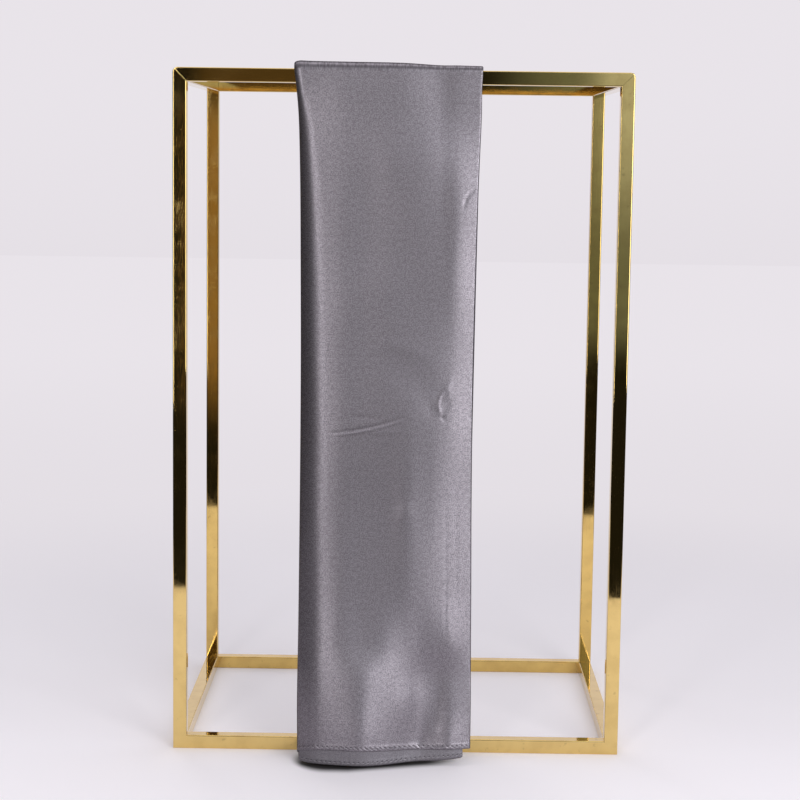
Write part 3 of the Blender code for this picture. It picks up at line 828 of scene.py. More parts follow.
class NodeKit:
    """Short calls for building one node tree."""

    def __init__(self, tree: bpy.types.NodeTree) -> None:
        """Hold the tree."""
        self.tree = tree

    def node(
        self, kind: str, inputs: dict[str | int, object] | None = None, **settings: object
    ) -> bpy.types.Node:
        """Add a node.

        Args:
            kind: The node's type.
            inputs: What its inputs get: sockets or plain values.
            settings: Its own properties, which are set first.

        Returns:
            The new node.
        """
        node = self.tree.nodes.new(kind)
        for name, value in settings.items():
            setattr(node, name, value)
        for name, value in (inputs or {}).items():
            self.feed(node.inputs[name], value)
        return node

    def link(self, source: bpy.types.NodeSocket, target: bpy.types.NodeSocket) -> None:
        """Join an output to an input."""
        self.tree.links.new(source, target)

    def feed(self, target: bpy.types.NodeSocket, value: object) -> None:
        """Give an input a socket's output or a plain value.

        Args:
            target: The input.
            value: The output or the value.
        """
        if isinstance(value, bpy.types.NodeSocket):
            self.link(value, target)
        else:
            target.default_value = value

    def maths(self, operation: str, *values: object) -> bpy.types.NodeSocket:
        """Work out one sum on numbers or sockets."""
        return self.node("ShaderNodeMath", dict(enumerate(values)), operation=operation).outputs[0]

    def product(self, first: object, *others: object) -> bpy.types.NodeSocket:
        """Multiply numbers or sockets.

        Args:
            first: The first factor.
            others: The other factors.

        Returns:
            The product.
        """
        for other in others:
            first = self.maths("MULTIPLY", first, other)
        return first

    def noise(self, vector: bpy.types.NodeSocket, scale: object, detail: float) -> bpy.types.NodeSocket:
        """Read a noise at a vector, from 0 to 1."""
        inputs = {"Vector": vector, "Scale": scale, "Detail": detail}
        return self.node("ShaderNodeTexNoise", inputs).outputs["Fac"]

    def ramp(
        self, value: object, low: float, high: float, start: float = 0.0, end: float = 1.0
    ) -> bpy.types.NodeSocket:
        """Map a range of values to another, smoothly and clamped."""
        inputs = dict(enumerate((value, low, high, start, end)))
        return self.node("ShaderNodeMapRange", inputs, interpolation_type="SMOOTHSTEP").outputs[0]

    def mix(self, share: object, one: object, other: object) -> bpy.types.NodeSocket:
        """Mix two colours."""
        return self.node("ShaderNodeMix", {"Factor": share, 6: one, 7: other}, data_type="RGBA").outputs[2]

    def mix_shaders(
        self, share: bpy.types.NodeSocket, one: bpy.types.Node, other: bpy.types.Node
    ) -> bpy.types.Node:
        """Mix two shaders."""
        return self.node("ShaderNodeMixShader", {0: share, 1: one.outputs[0], 2: other.outputs[0]})

    def split(self, vector: bpy.types.NodeSocket) -> list[bpy.types.NodeSocket]:
        """Take a vector apart into its three values."""
        return list(self.node("ShaderNodeSeparateXYZ", {0: vector}).outputs)

    def uv(self, name: str) -> bpy.types.NodeSocket:
        """Read one of the piece's own maps."""
        return self.node("ShaderNodeUVMap", uv_map=name).outputs[0]

    def bump(self, height: bpy.types.NodeSocket, strength: float, distance: float) -> bpy.types.Node:
        """Add a bump."""
        return self.node("ShaderNodeBump", {"Height": height, "Strength": strength, "Distance": distance})

    def group(self, tree: bpy.types.NodeTree) -> bpy.types.Node:
        """Place a node group."""
        return self.node("ShaderNodeGroup", node_tree=tree)


GroupParts = tuple[NodeKit, bpy.types.NodeOutputs, bpy.types.NodeInputs]


def new_group(name: str, inputs: dict[str, float], outputs: tuple[str, ...]) -> GroupParts:
    """Start a shader node group.

    Args:
        name: Its name.
        inputs: Its inputs and their values.
        outputs: Its outputs.
    """
    tree = bpy.data.node_groups.new(name, "ShaderNodeTree")
    for label, value in inputs.items():
        made = tree.interface.new_socket(label, in_out="INPUT", socket_type="NodeSocketFloat")
        made.default_value = value
    for label in outputs:
        tree.interface.new_socket(label, in_out="OUTPUT", socket_type="NodeSocketFloat")
    kit = NodeKit(tree)
    return kit, kit.node("NodeGroupInput").outputs, kit.node("NodeGroupOutput").inputs


def weave_group() -> bpy.types.NodeTree:
    """Satin weave: a fine even grain of thread floats, a little longer along the cloth than across it.

    Returns:
        The node group.
    """
    sizes = {"Grain Size": 0.00068, "Float Stretch": 1.25}
    kit, given, out = new_group("satin_weave", sizes, ("Tone", "Height"))
    cloud_scale, cloud_share = 0.31, 0.24
    grain_detail, cloud_detail = 2.5, 2.0
    tone_range = (0.34, 0.66)
    across, along, _ = kit.split(kit.uv("UVMap"))
    across = kit.maths("DIVIDE", across, given["Grain Size"])
    along = kit.maths("DIVIDE", along, kit.product(given["Grain Size"], given["Float Stretch"]))
    floats = kit.node("ShaderNodeCombineXYZ", {0: across, 1: along}).outputs[0]
    grain = kit.noise(floats, 1.0, grain_detail)
    cloud = kit.noise(floats, cloud_scale, cloud_detail)
    mixed = kit.maths("ADD", kit.product(grain, 1 - cloud_share), kit.product(cloud, cloud_share))
    kit.link(kit.ramp(mixed, *tone_range), out["Tone"])
    kit.link(mixed, out["Height"])
    return kit.tree


def hem_group() -> bpy.types.NodeTree:
    """Machine-sewn hem: slanting puckers beside the stitches, and a mask for painted shade in the needle
    holes at each end of them.

    Returns:
        The node group.
    """
    kit, given, out = new_group(
        "hem_pucker", {"Pitch": STITCH_PITCH, "Row": STITCH_ROW, "Reach": 0.0016}, ("Height", "Hole Shade")
    )
    slant, hole_place = 0.8, 0.0007
    hole_size, hole_wave, pucker_reach = (0.0006, 0.0001), (0.35, 0.05), (1.0, 0.2)
    along, from_hem, _ = kit.split(kit.uv("HemMap"))
    off_row = kit.maths("SUBTRACT", from_hem, given["Row"])
    slanted = kit.maths("ADD", along, kit.product(off_row, slant))
    turn = kit.product(kit.maths("DIVIDE", slanted, given["Pitch"]), 2 * math.pi)
    wave = kit.maths("MULTIPLY_ADD", kit.maths("COSINE", turn), 0.5, 0.5)
    near = kit.ramp(kit.maths("DIVIDE", kit.maths("ABSOLUTE", off_row), given["Reach"]), *pucker_reach)
    kit.link(kit.product(wave, near), out["Height"])
    # Mask of the painted shade in the needle holes.
    above = kit.ramp(kit.maths("ABSOLUTE", kit.maths("SUBTRACT", off_row, hole_place)), *hole_size)
    kit.link(kit.product(kit.ramp(wave, *hole_wave), above), out["Hole Shade"])
    return kit.tree


def polish_group() -> bpy.types.NodeTree:
    """Wear of polished metal: fine scratches along a tube, smudges and small stains.

    Returns:
        The node group.
    """
    sizes = {"Scratch Size": 0.0004, "Smudge Size": 0.012, "Stain Size": 0.004}
    kit, given, out = new_group("polish_wear", sizes, ("Scratch", "Smudge", "Stain"))
    scratch_stretch, smudge_range, stain_range = (1.0, 0.03, 1.0), (0.38, 0.68), (0.62, 0.74)
    place = kit.node("ShaderNodeTexCoord").outputs["Object"]
    lines = kit.node("ShaderNodeMapping", {"Vector": kit.uv("UVMap"), "Scale": scratch_stretch}).outputs[0]
    kit.link(kit.noise(lines, kit.maths("DIVIDE", 1.0, given["Scratch Size"]), 3.0), out["Scratch"])
    smudges = kit.noise(place, kit.maths("DIVIDE", 1.0, given["Smudge Size"]), 3.0)
    kit.link(kit.ramp(smudges, *smudge_range), out["Smudge"])
    stains = kit.noise(place, kit.maths("DIVIDE", 1.0, given["Stain Size"]), 4.0)
    kit.link(kit.ramp(stains, *stain_range), out["Stain"])
    return kit.tree


def start_material(name: str) -> tuple[bpy.types.Material, NodeKit, bpy.types.Node]:
    """Make a material with its Principled shader.

    Args:
        name: Its name.
    """
    material = bpy.data.materials.new(name)
    material.use_nodes = True
    return material, NodeKit(material.node_tree), material.node_tree.nodes["Principled BSDF"]


@dataclass(frozen=True)
class SatinFinish:
    """Woven polyester satin, or its duller reverse, or thread of the same yarn."""

    name: str
    dark: Colour
    light: Colour
    roughness: float
    metallic: float
    edge: float
    bump: float
    roughness_change: float = 0.03
    grain_depth: float = 0.0001
    pucker: float = 0.42
    pucker_depth: float = 0.0004
    hole_shade: float = 0.8
    hole_shade_tone: float = 0.35

    def material(self, weave: bpy.types.NodeTree, hem: bpy.types.NodeTree | None) -> bpy.types.Material:
        """Build the material.

        Args:
            weave: The weave's node group.
            hem: The hem's node group, where the cloth has hems.

        Returns:
            The new material.
        """
        material, kit, shader = start_material(self.name)
        cloth = kit.group(weave)
        colour = kit.mix(cloth.outputs["Tone"], self.dark, self.light)
        rough, smoother = self.roughness + self.roughness_change, self.roughness - self.roughness_change
        kit.link(kit.ramp(cloth.outputs["Tone"], 0.0, 1.0, rough, smoother), shader.inputs["Roughness"])
        shader.inputs["Metallic"].default_value = self.metallic
        shader.inputs["Specular Tint"].default_value = (self.edge, self.edge, self.edge, 1)
        bump = kit.bump(cloth.outputs["Height"], self.bump, self.grain_depth)
        if hem:
            sewn = kit.group(hem)
            grain = bump.outputs[0]
            bump = kit.bump(sewn.outputs["Height"], self.pucker, self.pucker_depth)
            kit.link(grain, bump.inputs["Normal"])
            # Painted shade: the colour goes dark in the needle holes at the stitches' ends.
            shade = tuple(value * self.hole_shade_tone for value in self.dark[:3])
            colour = kit.mix(kit.product(sewn.outputs["Hole Shade"], self.hole_shade), colour, (*shade, 1))
        kit.link(bump.outputs[0], shader.inputs["Normal"])
        kit.link(colour, shader.inputs["Base Color"])
        return material


@dataclass(frozen=True)
class BrassFinish:
    """Polished brass, with the wear of a stand that is handled."""

    name: str
    bright: Colour
    tarnished: Colour
    stained: Colour
    roughness: float
    stain: float = 0.35
    smudge_roughness: float = 0.03
    scratch_roughness: float = 0.05
    scratch_range: Range = (0.50, 0.80)
    stain_roughness: float = 0.15
    bump: float = 0.12
    scratch_depth: float = 0.00003

    def material(self, polish: bpy.types.NodeTree) -> bpy.types.Material:
        """Build the material.

        Args:
            polish: The wear's node group.

        Returns:
            The new material.
        """
        material, kit, shader = start_material(self.name)
        wear = kit.group(polish)
        colour = kit.mix(wear.outputs["Smudge"], self.bright, self.tarnished)
        stain = kit.product(wear.outputs["Stain"], self.stain)
        kit.link(kit.mix(stain, colour, self.stained), shader.inputs["Base Color"])
        shader.inputs["Metallic"].default_value = 1.0
        smudge = kit.product(wear.outputs["Smudge"], self.smudge_roughness)
        scratch = kit.ramp(wear.outputs["Scratch"], *self.scratch_range, 0.0, self.scratch_roughness)
        rough = kit.maths("ADD", kit.maths("ADD", smudge, scratch), self.roughness)
        rough = kit.maths("ADD", rough, kit.product(stain, self.stain_roughness))
        kit.link(rough, shader.inputs["Roughness"])
        bump = kit.bump(wear.outputs["Scratch"], self.bump, self.scratch_depth)
        kit.link(bump.outputs[0], shader.inputs["Normal"])
        return material


SATIN = SatinFinish(
    "grey_satin", (0.128, 0.1155, 0.130, 1), (0.258, 0.236, 0.2625, 1), 0.37, 0.88, 0.10, 0.22
)
REVERSE = SatinFinish(
    "grey_satin_reverse", (0.138, 0.128, 0.142, 1), (0.205, 0.191, 0.212, 1), 0.50, 0.70, 0.25, 0.25
)
THREAD = SatinFinish("grey_thread", (0.27, 0.252, 0.274, 1), (0.40, 0.375, 0.405, 1), 0.35, 0.60, 0.5, 0.3)
BRASS = BrassFinish(
    "polished_brass", (0.76, 0.555, 0.215, 1), (0.70, 0.50, 0.19, 1), (0.30, 0.18, 0.07, 1), 0.025
)
# Shaded copy of the brass for the back frame: its colour is darker and warmer, as painted shade, and it is a
# little rougher.
SHADED_BACK_BRASS = BrassFinish(
    "brass_shaded_back", (0.73, 0.51, 0.17, 1), (0.66, 0.45, 0.15, 1), (0.27, 0.14, 0.05, 1), 0.035
)


class Finishes:
    """All materials of the part, built once."""

    def __init__(self) -> None:
        """Build the shared groups and then the materials."""
        weave, hem, polish = weave_group(), hem_group(), polish_group()
        self.satin = SATIN.material(weave, hem)
        self.reverse = REVERSE.material(weave, hem)
        self.thread = THREAD.material(weave, None)
        self.brass = BRASS.material(polish)
        self.back_brass_shade = SHADED_BACK_BRASS.material(polish)


@dataclass(frozen=True)
class TubeProfile:
    """Cross-section of the square tube, with rounded edges."""

    size: float = TUBE
    radius: float = 0.0006
    steps: int = 4
    margin: float = 0.00012

    def points(self) -> list[tuple[float, float]]:
        """Points round the tube, from its middle, with a pair on each flat to keep it flat.

        Returns:
            Places across the tube and along its depth.
        """
        centre = self.size / 2 - self.radius
        points = []
        for corner, (sx, sy) in enumerate(((1, 1), (-1, 1), (-1, -1), (1, -1))):
            start = corner * math.pi / 2
            arc = []
            for step in range(self.steps + 1):
                angle = start + math.pi / 2 * step / self.steps
                x = sx * centre + self.radius * math.cos(angle)
                arc.append((x, sy * centre + self.radius * math.sin(angle)))
            before = (arc[0][0] + self.margin * math.sin(start), arc[0][1] - self.margin * math.cos(start))
            turned = start + math.pi / 2
            after = (arc[-1][0] - self.margin * math.sin(turned), arc[-1][1] + self.margin * math.cos(turned))
            points += [before, *arc, after]
        return points


PROFILE = TubeProfile()
MAP_SPAN = 0.05
WELD_WIDTH = 0.00022
WELD_SHRINK = 1 - 0.00002 / TUBE


def skin_tube(
    bm: bmesh.types.BMesh, rings: list[list[Vector]], shift: float, closed_ends: bool = False
) -> None:
    """Skin a tube over its rings, with a map in metres.

    Args:
        bm: The mesh it is added to.
        rings: Rings of points, all with the same count.
        shift: Where the tube's strip starts in the map.
        closed_ends: Whether the first and last rings get a face.
    """
    maps = bm.loops.layers.uv
    layer = maps.get("UVMap") or maps.new("UVMap")
    lines = [[bm.verts.new(point) for point in ring] for ring in rings]
    around = [shift]
    widest = rings[len(rings) // 2]
    for one, other in zip(widest, widest[1:] + widest[:1]):
        around.append(around[-1] + (other - one).length)
    along = [0.0]
    for low, high in zip(rings, rings[1:]):
        along.append(along[-1] + max((high[0] - low[0]).length, 0.00001))
    for i, (low, high) in enumerate(zip(lines, lines[1:])):
        for j in range(len(low)):
            k = (j + 1) % len(low)
            face = bm.faces.new((low[j], low[k], high[k], high[j]))
            for loop, (u, v) in zip(face.loops, ((j, i), (j + 1, i), (j + 1, i + 1), (j, i + 1))):
                loop[layer].uv = (around[u], along[v])
    if closed_ends:
        bm.faces.new(lines[0])
        bm.faces.new(lines[-1][::-1])


def finish_tubes(name: str, bm: bmesh.types.BMesh, material: bpy.types.Material) -> bpy.types.Object:
    """Close a mesh of tubes, turn its faces outwards and put it in the scene.

    Args:
        name: The piece's name.
        bm: Its mesh, which is freed.
        material: Its finish.

    Returns:
        The new object.
    """
    bmesh.ops.remove_doubles(bm, verts=bm.verts[:], dist=0.000001)
    bmesh.ops.recalc_face_normals(bm, faces=bm.faces[:])
    mesh = bpy.data.meshes.new(name)
    bm.to_mesh(mesh)
    bm.free()
    mesh.materials.append(material)
    mesh.shade_smooth()
    turn_outwards(mesh)
    return add_object(name, mesh)


@dataclass(frozen=True)
class WeldedFrame:
    """One upright rectangle of square tube, mitred and welded, with its upper corners rounded.

    Attributes:
        name: The piece's name.
        middle_y: Y of its middle plane.
        nodes: The solids that it stands for.
        corner_radius: Outer radius of its upper corners.
        mitre_zone: Length from a corner within which a tube's rings turn from mitred to square.
        mitre_steps: Steps in which a line's meeting with the mitre is found.
        shares: Places of the rings in the mitre's zone, past the weld.
    """

    name: str
    middle_y: float
    nodes: tuple[str, ...]
    corner_radius: float = 0.0032
    mitre_zone: float = 0.0135
    mitre_steps: int = 24
    shares: tuple[float, ...] = (0.05, 0.10, 0.16, 0.22, 0.28, 0.36, 0.46, 0.60, 0.80, 1.0)

    def squeezed(self, reach: float, across: float, rounded: bool) -> float:
        """Place across a tube, moved in where the frame's outer corner is rounded.

        Args:
            reach: Length from the frame's outer corner.
            across: Distance from the tube's outer face.
            rounded: Whether the corner is rounded.

        Returns:
            The new distance from the outer face.
        """
        if not rounded:
            return across
        inside = max(self.corner_radius - reach, 0.0)
        depth = self.corner_radius - math.sqrt(self.corner_radius**2 - inside**2)
        return depth + across * (TUBE - depth) / TUBE

    def on_mitre(self, across: float, rounded: bool) -> float:
        """Length from the outer corner at which a line along the tube meets the mitre.

        Args:
            across: The line's distance from the tube's outer face.
            rounded: Whether the corner is rounded.

        Returns:
            The length.
        """
        reach = across
        for _ in range(self.mitre_steps):
            reach = (reach + self.squeezed(reach, across, rounded)) / 2
        return reach

    def ring(
        self, rounded: bool, share: float, step: float = 0.0, shrink: float = 1.0
    ) -> list[tuple[float, float, float]]:
        """Reach, place across and depth of the points of one ring near a tube's end.

        Args:
            rounded: Whether the frame's corner is rounded.
            share: 0 on the mitre, 1 at the end of the mitre's zone.
            step: A further length away from the mitre.
            shrink: Size of the tube there.

        Returns:
            The three numbers for each point of the profile.
        """
        ring = []
        for out, depth in PROFILE.points():
            across = TUBE / 2 - out * shrink
            end = self.on_mitre(across, rounded)
            reach = end + (self.mitre_zone - end) * share + step
            ring.append((reach, self.squeezed(reach, across, rounded), depth * shrink))
        return ring

    def bar_rings(
        self, corners: list[Vector], out: Vector, rounded: tuple[bool, ...]
    ) -> list[list[Vector]]:
        """All rings of one tube, from one outer corner of the frame to the next.

        Args:
            corners: The two outer corners, in the frame's middle plane.
            out: The way out of the frame from this tube.
            rounded: Which of the two corners are rounded.

        Returns:
            The rings, each a list of points.
        """
        way = (corners[1] - corners[0]).normalized()
        depth_way = Vector((0, 1, 0))
        halves = []
        for corner, along, is_round in zip(corners, (way, -way), rounded):
            rings = [self.ring(is_round, 0.0, shrink=WELD_SHRINK), self.ring(is_round, 0.0, WELD_WIDTH)]
            rings += [self.ring(is_round, share) for share in self.shares]
            halves.append([
                [corner + along * r - out * a + depth_way * d for r, a, d in ring] for ring in rings
            ])
        return halves[0] + halves[1][::-1]

    def build(self, material: bpy.types.Material) -> bpy.types.Object:
        """Make the frame as one closed mesh.

        Args:
            material: Its finish.

        Returns:
            The new object.
        """
        half = STAND_WIDTH / 2
        low = [Vector((x, self.middle_y, 0)) for x in (-half, half)]
        high = [Vector((x, self.middle_y, STAND_HEIGHT)) for x in (half, -half)]
        corners = [*low, *high, low[0]]
        ways = [Vector(way) for way in ((0, 0, -1), (1, 0, 0), (0, 0, 1), (-1, 0, 0))]
        rounded = (False, False, True, True, False)
        bm = bmesh.new()
        for bar, out in enumerate(ways):
            rings = self.bar_rings(corners[bar : bar + 2], out, rounded[bar : bar + 2])
            skin_tube(bm, rings, bar * MAP_SPAN)
        made = finish_tubes(self.name, bm, material)
        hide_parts(*self.nodes)
        return made


@dataclass(frozen=True)
class DepthBars:
    """Four tubes that join the front frame to the back frame, welded at both ends."""

    start: float = FRONT_Y + TUBE
    end: float = FRONT_Y + STAND_DEPTH - TUBE
    end_zone: float = 0.006

    def build(self, material: bpy.types.Material) -> list[bpy.types.Object]:
        """Make the four tubes.

        Args:
            material: Their finish.

        Returns:
            The new objects.
        """
        made = []
        steps = ((0.0, WELD_SHRINK), (WELD_WIDTH, 1.0), (self.end_zone, 1.0))
        places = [(self.start + step, size) for step, size in steps]
        places += [(self.end - step, size) for step, size in reversed(steps)]
        for side, way in (("left", -1), ("right", 1)):
            for level, z in (("top", STAND_HEIGHT - TUBE / 2), ("bottom", TUBE / 2)):
                node = f"stand_depth_{level}_{side}"
                x = way * (STAND_WIDTH - TUBE) / 2
                rings = [
                    [Vector((x + px * s, y, z + pz * s)) for px, pz in PROFILE.points()] for y, s in places
                ]
                bm = bmesh.new()
                skin_tube(bm, rings, way * MAP_SPAN + z, closed_ends=True)
                bar = finish_tubes(f"{node}_tube", bm, material)
                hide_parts(node)
                made.append(bar)
        return made


@dataclass(frozen=True)
class Stitching:
    """Rows of lockstitch along the hems, spread along lines by a node tree.

    Attributes:
        pitch: Length from one stitch to the next.
        length: Length of a stitch's thread.
        thread: The thread's radius.
        segments: Faces round a stitch.
        rings: Faces along a stitch.
    """

    pitch: float = STITCH_PITCH
    length: float = 0.0019
    thread: float = 0.00018
    segments: int = 7
    rings: int = 6

    def tree(self) -> bpy.types.NodeTree:
        """Tree that lays one spindle of thread on each step along a line.

        Returns:
            The node tree.
        """
        tree = bpy.data.node_groups.new("lockstitch_row", "GeometryNodeTree")
        tree.interface.new_socket("Line", in_out="INPUT", socket_type="NodeSocketGeometry")
        for name in ("Pitch", "Stitch Length", "Thread Radius"):
            tree.interface.new_socket(name, in_out="INPUT", socket_type="NodeSocketFloat")
        tree.interface.new_socket("Thread", in_out="INPUT", socket_type="NodeSocketMaterial")
        tree.interface.new_socket("Stitches", in_out="OUTPUT", socket_type="NodeSocketGeometry")
        kit = NodeKit(tree)
        given, out = kit.node("NodeGroupInput").outputs, kit.node("NodeGroupOutput").inputs
        curve = kit.node("GeometryNodeMeshToCurve", {0: given["Line"]}).outputs[0]
        spaced = {"Curve": curve, "Length": given["Pitch"]}
        steps = kit.node("GeometryNodeResampleCurve", spaced, mode="LENGTH")
        counts = {"Segments": self.segments, "Rings": self.rings, "Radius": 1.0}
        ball = kit.node("GeometryNodeMeshUVSphere", counts).outputs["Mesh"]
        radius, half = given["Thread Radius"], kit.product(given["Stitch Length"], 0.5)
        sizes = kit.node("ShaderNodeCombineXYZ", {0: radius, 1: radius, 2: half}).outputs[0]
        spindle = kit.node("GeometryNodeTransform", {"Geometry": ball, "Scale": sizes}).outputs[0]
        tangent = kit.node("GeometryNodeInputTangent").outputs[0]
        turn = kit.node("FunctionNodeAlignRotationToVector", {"Vector": tangent}, axis="Z").outputs[0]
        laid = {"Points": steps.outputs[0], "Instance": spindle, "Rotation": turn}
        result = kit.node("GeometryNodeInstanceOnPoints", laid).outputs[0]
        for kind in ("GeometryNodeRealizeInstances", "GeometryNodeSetShadeSmooth"):
            result = kit.node(kind, {0: result}).outputs[0]
        dressed = kit.node("GeometryNodeSetMaterial", {"Geometry": result, "Material": given["Thread"]})
        kit.link(dressed.outputs[0], out[0])
        return tree

    def sew(self, name: str, lines: list[np.ndarray], thread: bpy.types.Material) -> bpy.types.Object:
        """Lay stitches along some lines.

        Args:
            name: The new piece's name.
            lines: Points of each line, one row each.
            thread: Material of the thread.

        Returns:
            The stitches as one plain mesh.
        """
        points, edges = [], []
        for line in lines:
            first = len(points)
            points += line.tolist()
            edges += [(first + i, first + i + 1) for i in range(len(line) - 1)]
        mesh = bpy.data.meshes.new(f"{name}_lines")
        mesh.from_pydata(points, edges, [])
        guide = add_object(f"{name}_lines", mesh)
        modifier = guide.modifiers.new("stitches", "NODES")
        modifier.node_group = self.tree()
        sizes = {"Pitch": self.pitch, "Stitch Length": self.length, "Thread Radius": self.thread}
        values = {**sizes, "Thread": thread}
        for socket in modifier.node_group.interface.items_tree:
            if socket.name in values and socket.in_out == "INPUT":
                modifier[socket.identifier] = values[socket.name]
        evaluated = guide.evaluated_get(bpy.context.evaluated_depsgraph_get())
        sewn = bpy.data.meshes.new_from_object(evaluated)
        sewn.name = name
        guide.modifiers.clear()
        bpy.data.objects.remove(guide)
        return add_object(name, sewn)


@dataclass
class Scarf:
    """The folded scarf: its outer leaf, its hidden leaves and its stitches."""

    finishes: Finishes

    def build(self) -> list[bpy.types.Object]:
        """Returns:
            The outer leaf, the hidden leaves and the stitches.
        """
        outer = OuterLeaf("scarf_outer_shell", OUTER_RUNS, OUTER_PLAN)
        inner = ClothSheet("scarf_inner_shell", INNER_RUNS, INNER_PLAN)
        leaf = outer.build(self.finishes.satin, self.finishes.reverse)
        hidden = inner.build(self.finishes.reverse, self.finishes.satin)
        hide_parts("scarf_outer_leaf")
        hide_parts("scarf_inner_leaves")
        stitches = Stitching().sew("hem_stitches", self.stitch_lines(outer, inner), self.finishes.thread)
        return [leaf, hidden, stitches]

    def stitch_lines(self, outer: ClothSheet, inner: ClothSheet) -> list[np.ndarray]:
        """Lines of the stitches that show: both hems of the outer leaf and the rear pack's front hem.

        Args:
            outer: The outer leaf.
            inner: The hidden leaves.

        Returns:
            The lines' points, one row each.
        """
        return [
            outer.seam(STITCH_STEP, lambda run: run.side is not Side.FRONT_EDGE),
            outer.seam(-1 - STITCH_STEP, lambda run: run.side is not Side.FRONT_EDGE),
            inner.seam(STITCH_STEP, lambda run: run.side is Side.REAR and run.depth == 3, way=-1),
            inner.seam(STITCH_STEP, lambda run: run.under and run.depth == 1),
        ]


class Tone(Enum):
    """Linear colours of the studio."""

    BACKDROP = (0.812, 0.774, 0.818, 1)
    # Painted shade at the foot of the backdrop.
    SHADED_BACKDROP_FOOT = (0.770, 0.732, 0.775, 1)
    TABLE = (0.93, 0.89, 0.935, 1)
    # Painted shadow on the floor under the scarf's front hems.
    PAINTED_CONTACT_SHADOW = (0.035, 0.032, 0.034, 1)
    DARK_ROOM = (0.014, 0.013, 0.010, 1)
    PANEL = (0.17, 0.20, 0.19, 1)
    BRIGHT_PANEL = (0.57, 0.64, 0.70, 1)
    WOOD = (0.34, 0.22, 0.09, 1)
    CEILING = (0.45, 0.44, 0.46, 1)


class Way(Enum):
    """Measure of a direction in the room: its slope across, its slope up, or its height."""

    ACROSS = "across"
    UP = "up"
    HEIGHT = "height"


class Fade(NamedTuple):
    """A smooth change of a share along one measure of the room."""

    way: Way
    low: float
    high: float
    start: float = 0.0
    end: float = 1.0


class RoomPatch(NamedTuple):
    """A soft-edged patch of the room that the brass mirrors."""

    tone: Tone
    fades: tuple[Fade, ...]


ROOM = (
    RoomPatch(Tone.PANEL, (Fade(Way.ACROSS, 0.030, 0.076), Fade(Way.UP, -0.108, -0.080))),
    RoomPatch(Tone.BRIGHT_PANEL, (Fade(Way.ACROSS, 0.080, 0.100), Fade(Way.UP, -0.060, 0.030))),
    RoomPatch(
        Tone.WOOD,
        (
            Fade(Way.ACROSS, -0.114, -0.108),
            Fade(Way.ACROSS, -0.030, -0.060),
            Fade(Way.UP, -0.145, -0.100),
            Fade(Way.UP, 0.030, 0.012, 0.22, 1.0),
        ),
    ),
    RoomPatch(Tone.CEILING, (Fade(Way.HEIGHT, 0.40, 0.85),)),
)


@dataclass(frozen=True)
class ContactShadow:
    """Painted shadow: a dark patch painted into the floor's colour right under the scarf's front hems, where
    next to no light comes.

    Attributes:
        front_y: Its front edge, left of slant_x.
        slant_x: X from which the front edge slants back.
        slant: How steeply it does.
        corner_x: X left of which the front edge curves back.
        corner_curve: How strongly it does.
        front_fade: Range of Y over which it starts, from the front edge.
        back_fade: Range of Y over which it ends.
        left_fade: Range of X over which it starts.
        right_fade: Range of X over which it ends.
    """

    front_y: float = -0.1310
    slant_x: float = -0.030
    slant: float = 0.30
    corner_x: float = -0.044
    corner_curve: float = 32.0
    front_fade: Range = (-0.008, 0.005)
    back_fade: Range = (-0.088, -0.108)
    left_fade: Range = (-0.070, -0.060)
    right_fade: Range = (0.046, 0.020)

    def share(self, kit: NodeKit, x: bpy.types.NodeSocket, y: bpy.types.NodeSocket) -> bpy.types.NodeSocket:
        """Value that is 1 in the patch and 0 elsewhere.

        Args:
            kit: The floor's node tree.
            x: Place across the floor.
            y: Place along the floor.

        Returns:
            The value.
        """
        past_slant = kit.maths("MAXIMUM", kit.maths("SUBTRACT", x, self.slant_x), 0.0)
        front = kit.maths("MULTIPLY_ADD", past_slant, self.slant, self.front_y)
        corner = kit.maths("MAXIMUM", kit.maths("SUBTRACT", self.corner_x, x), 0.0)
        front = kit.maths("MULTIPLY_ADD", kit.product(corner, corner), self.corner_curve, front)
        inside = kit.ramp(kit.maths("SUBTRACT", y, front), *self.front_fade)
        sides = (kit.ramp(y, *self.back_fade), kit.ramp(x, *self.left_fade), kit.ramp(x, *self.right_fade))
        return kit.product(inside, *sides)


class Softbox(NamedTuple):
    """One rectangular light."""

    name: str
    place: tuple[float, float, float]
    aim: tuple[float, float, float]
    size: tuple[float, float]
    power: float


SOFTBOXES = (
    Softbox("overhead_softbox", (0.0, 0.10, 1.9), (0.0, -0.05, 0.1), (1.6, 1.0), 7.0),
    Softbox("front_softbox", (0.10, -1.75, 1.25), (0.0, -0.1, 0.15), (1.1, 0.5), 1.5),
    Softbox("left_softbox", (-0.46, -1.52, 0.50), (0.0, -0.1, 0.2), (0.20, 0.95), 5.0),
    Softbox("rear_softbox", (-0.75, 1.35, 0.80), (0.0, -0.05, 0.25), (0.45, 0.9), 1.8),
    Softbox("right_softbox", (0.74, -1.45, 0.55), (0.0, -0.1, 0.2), (0.56, 1.0), 11.9),
)


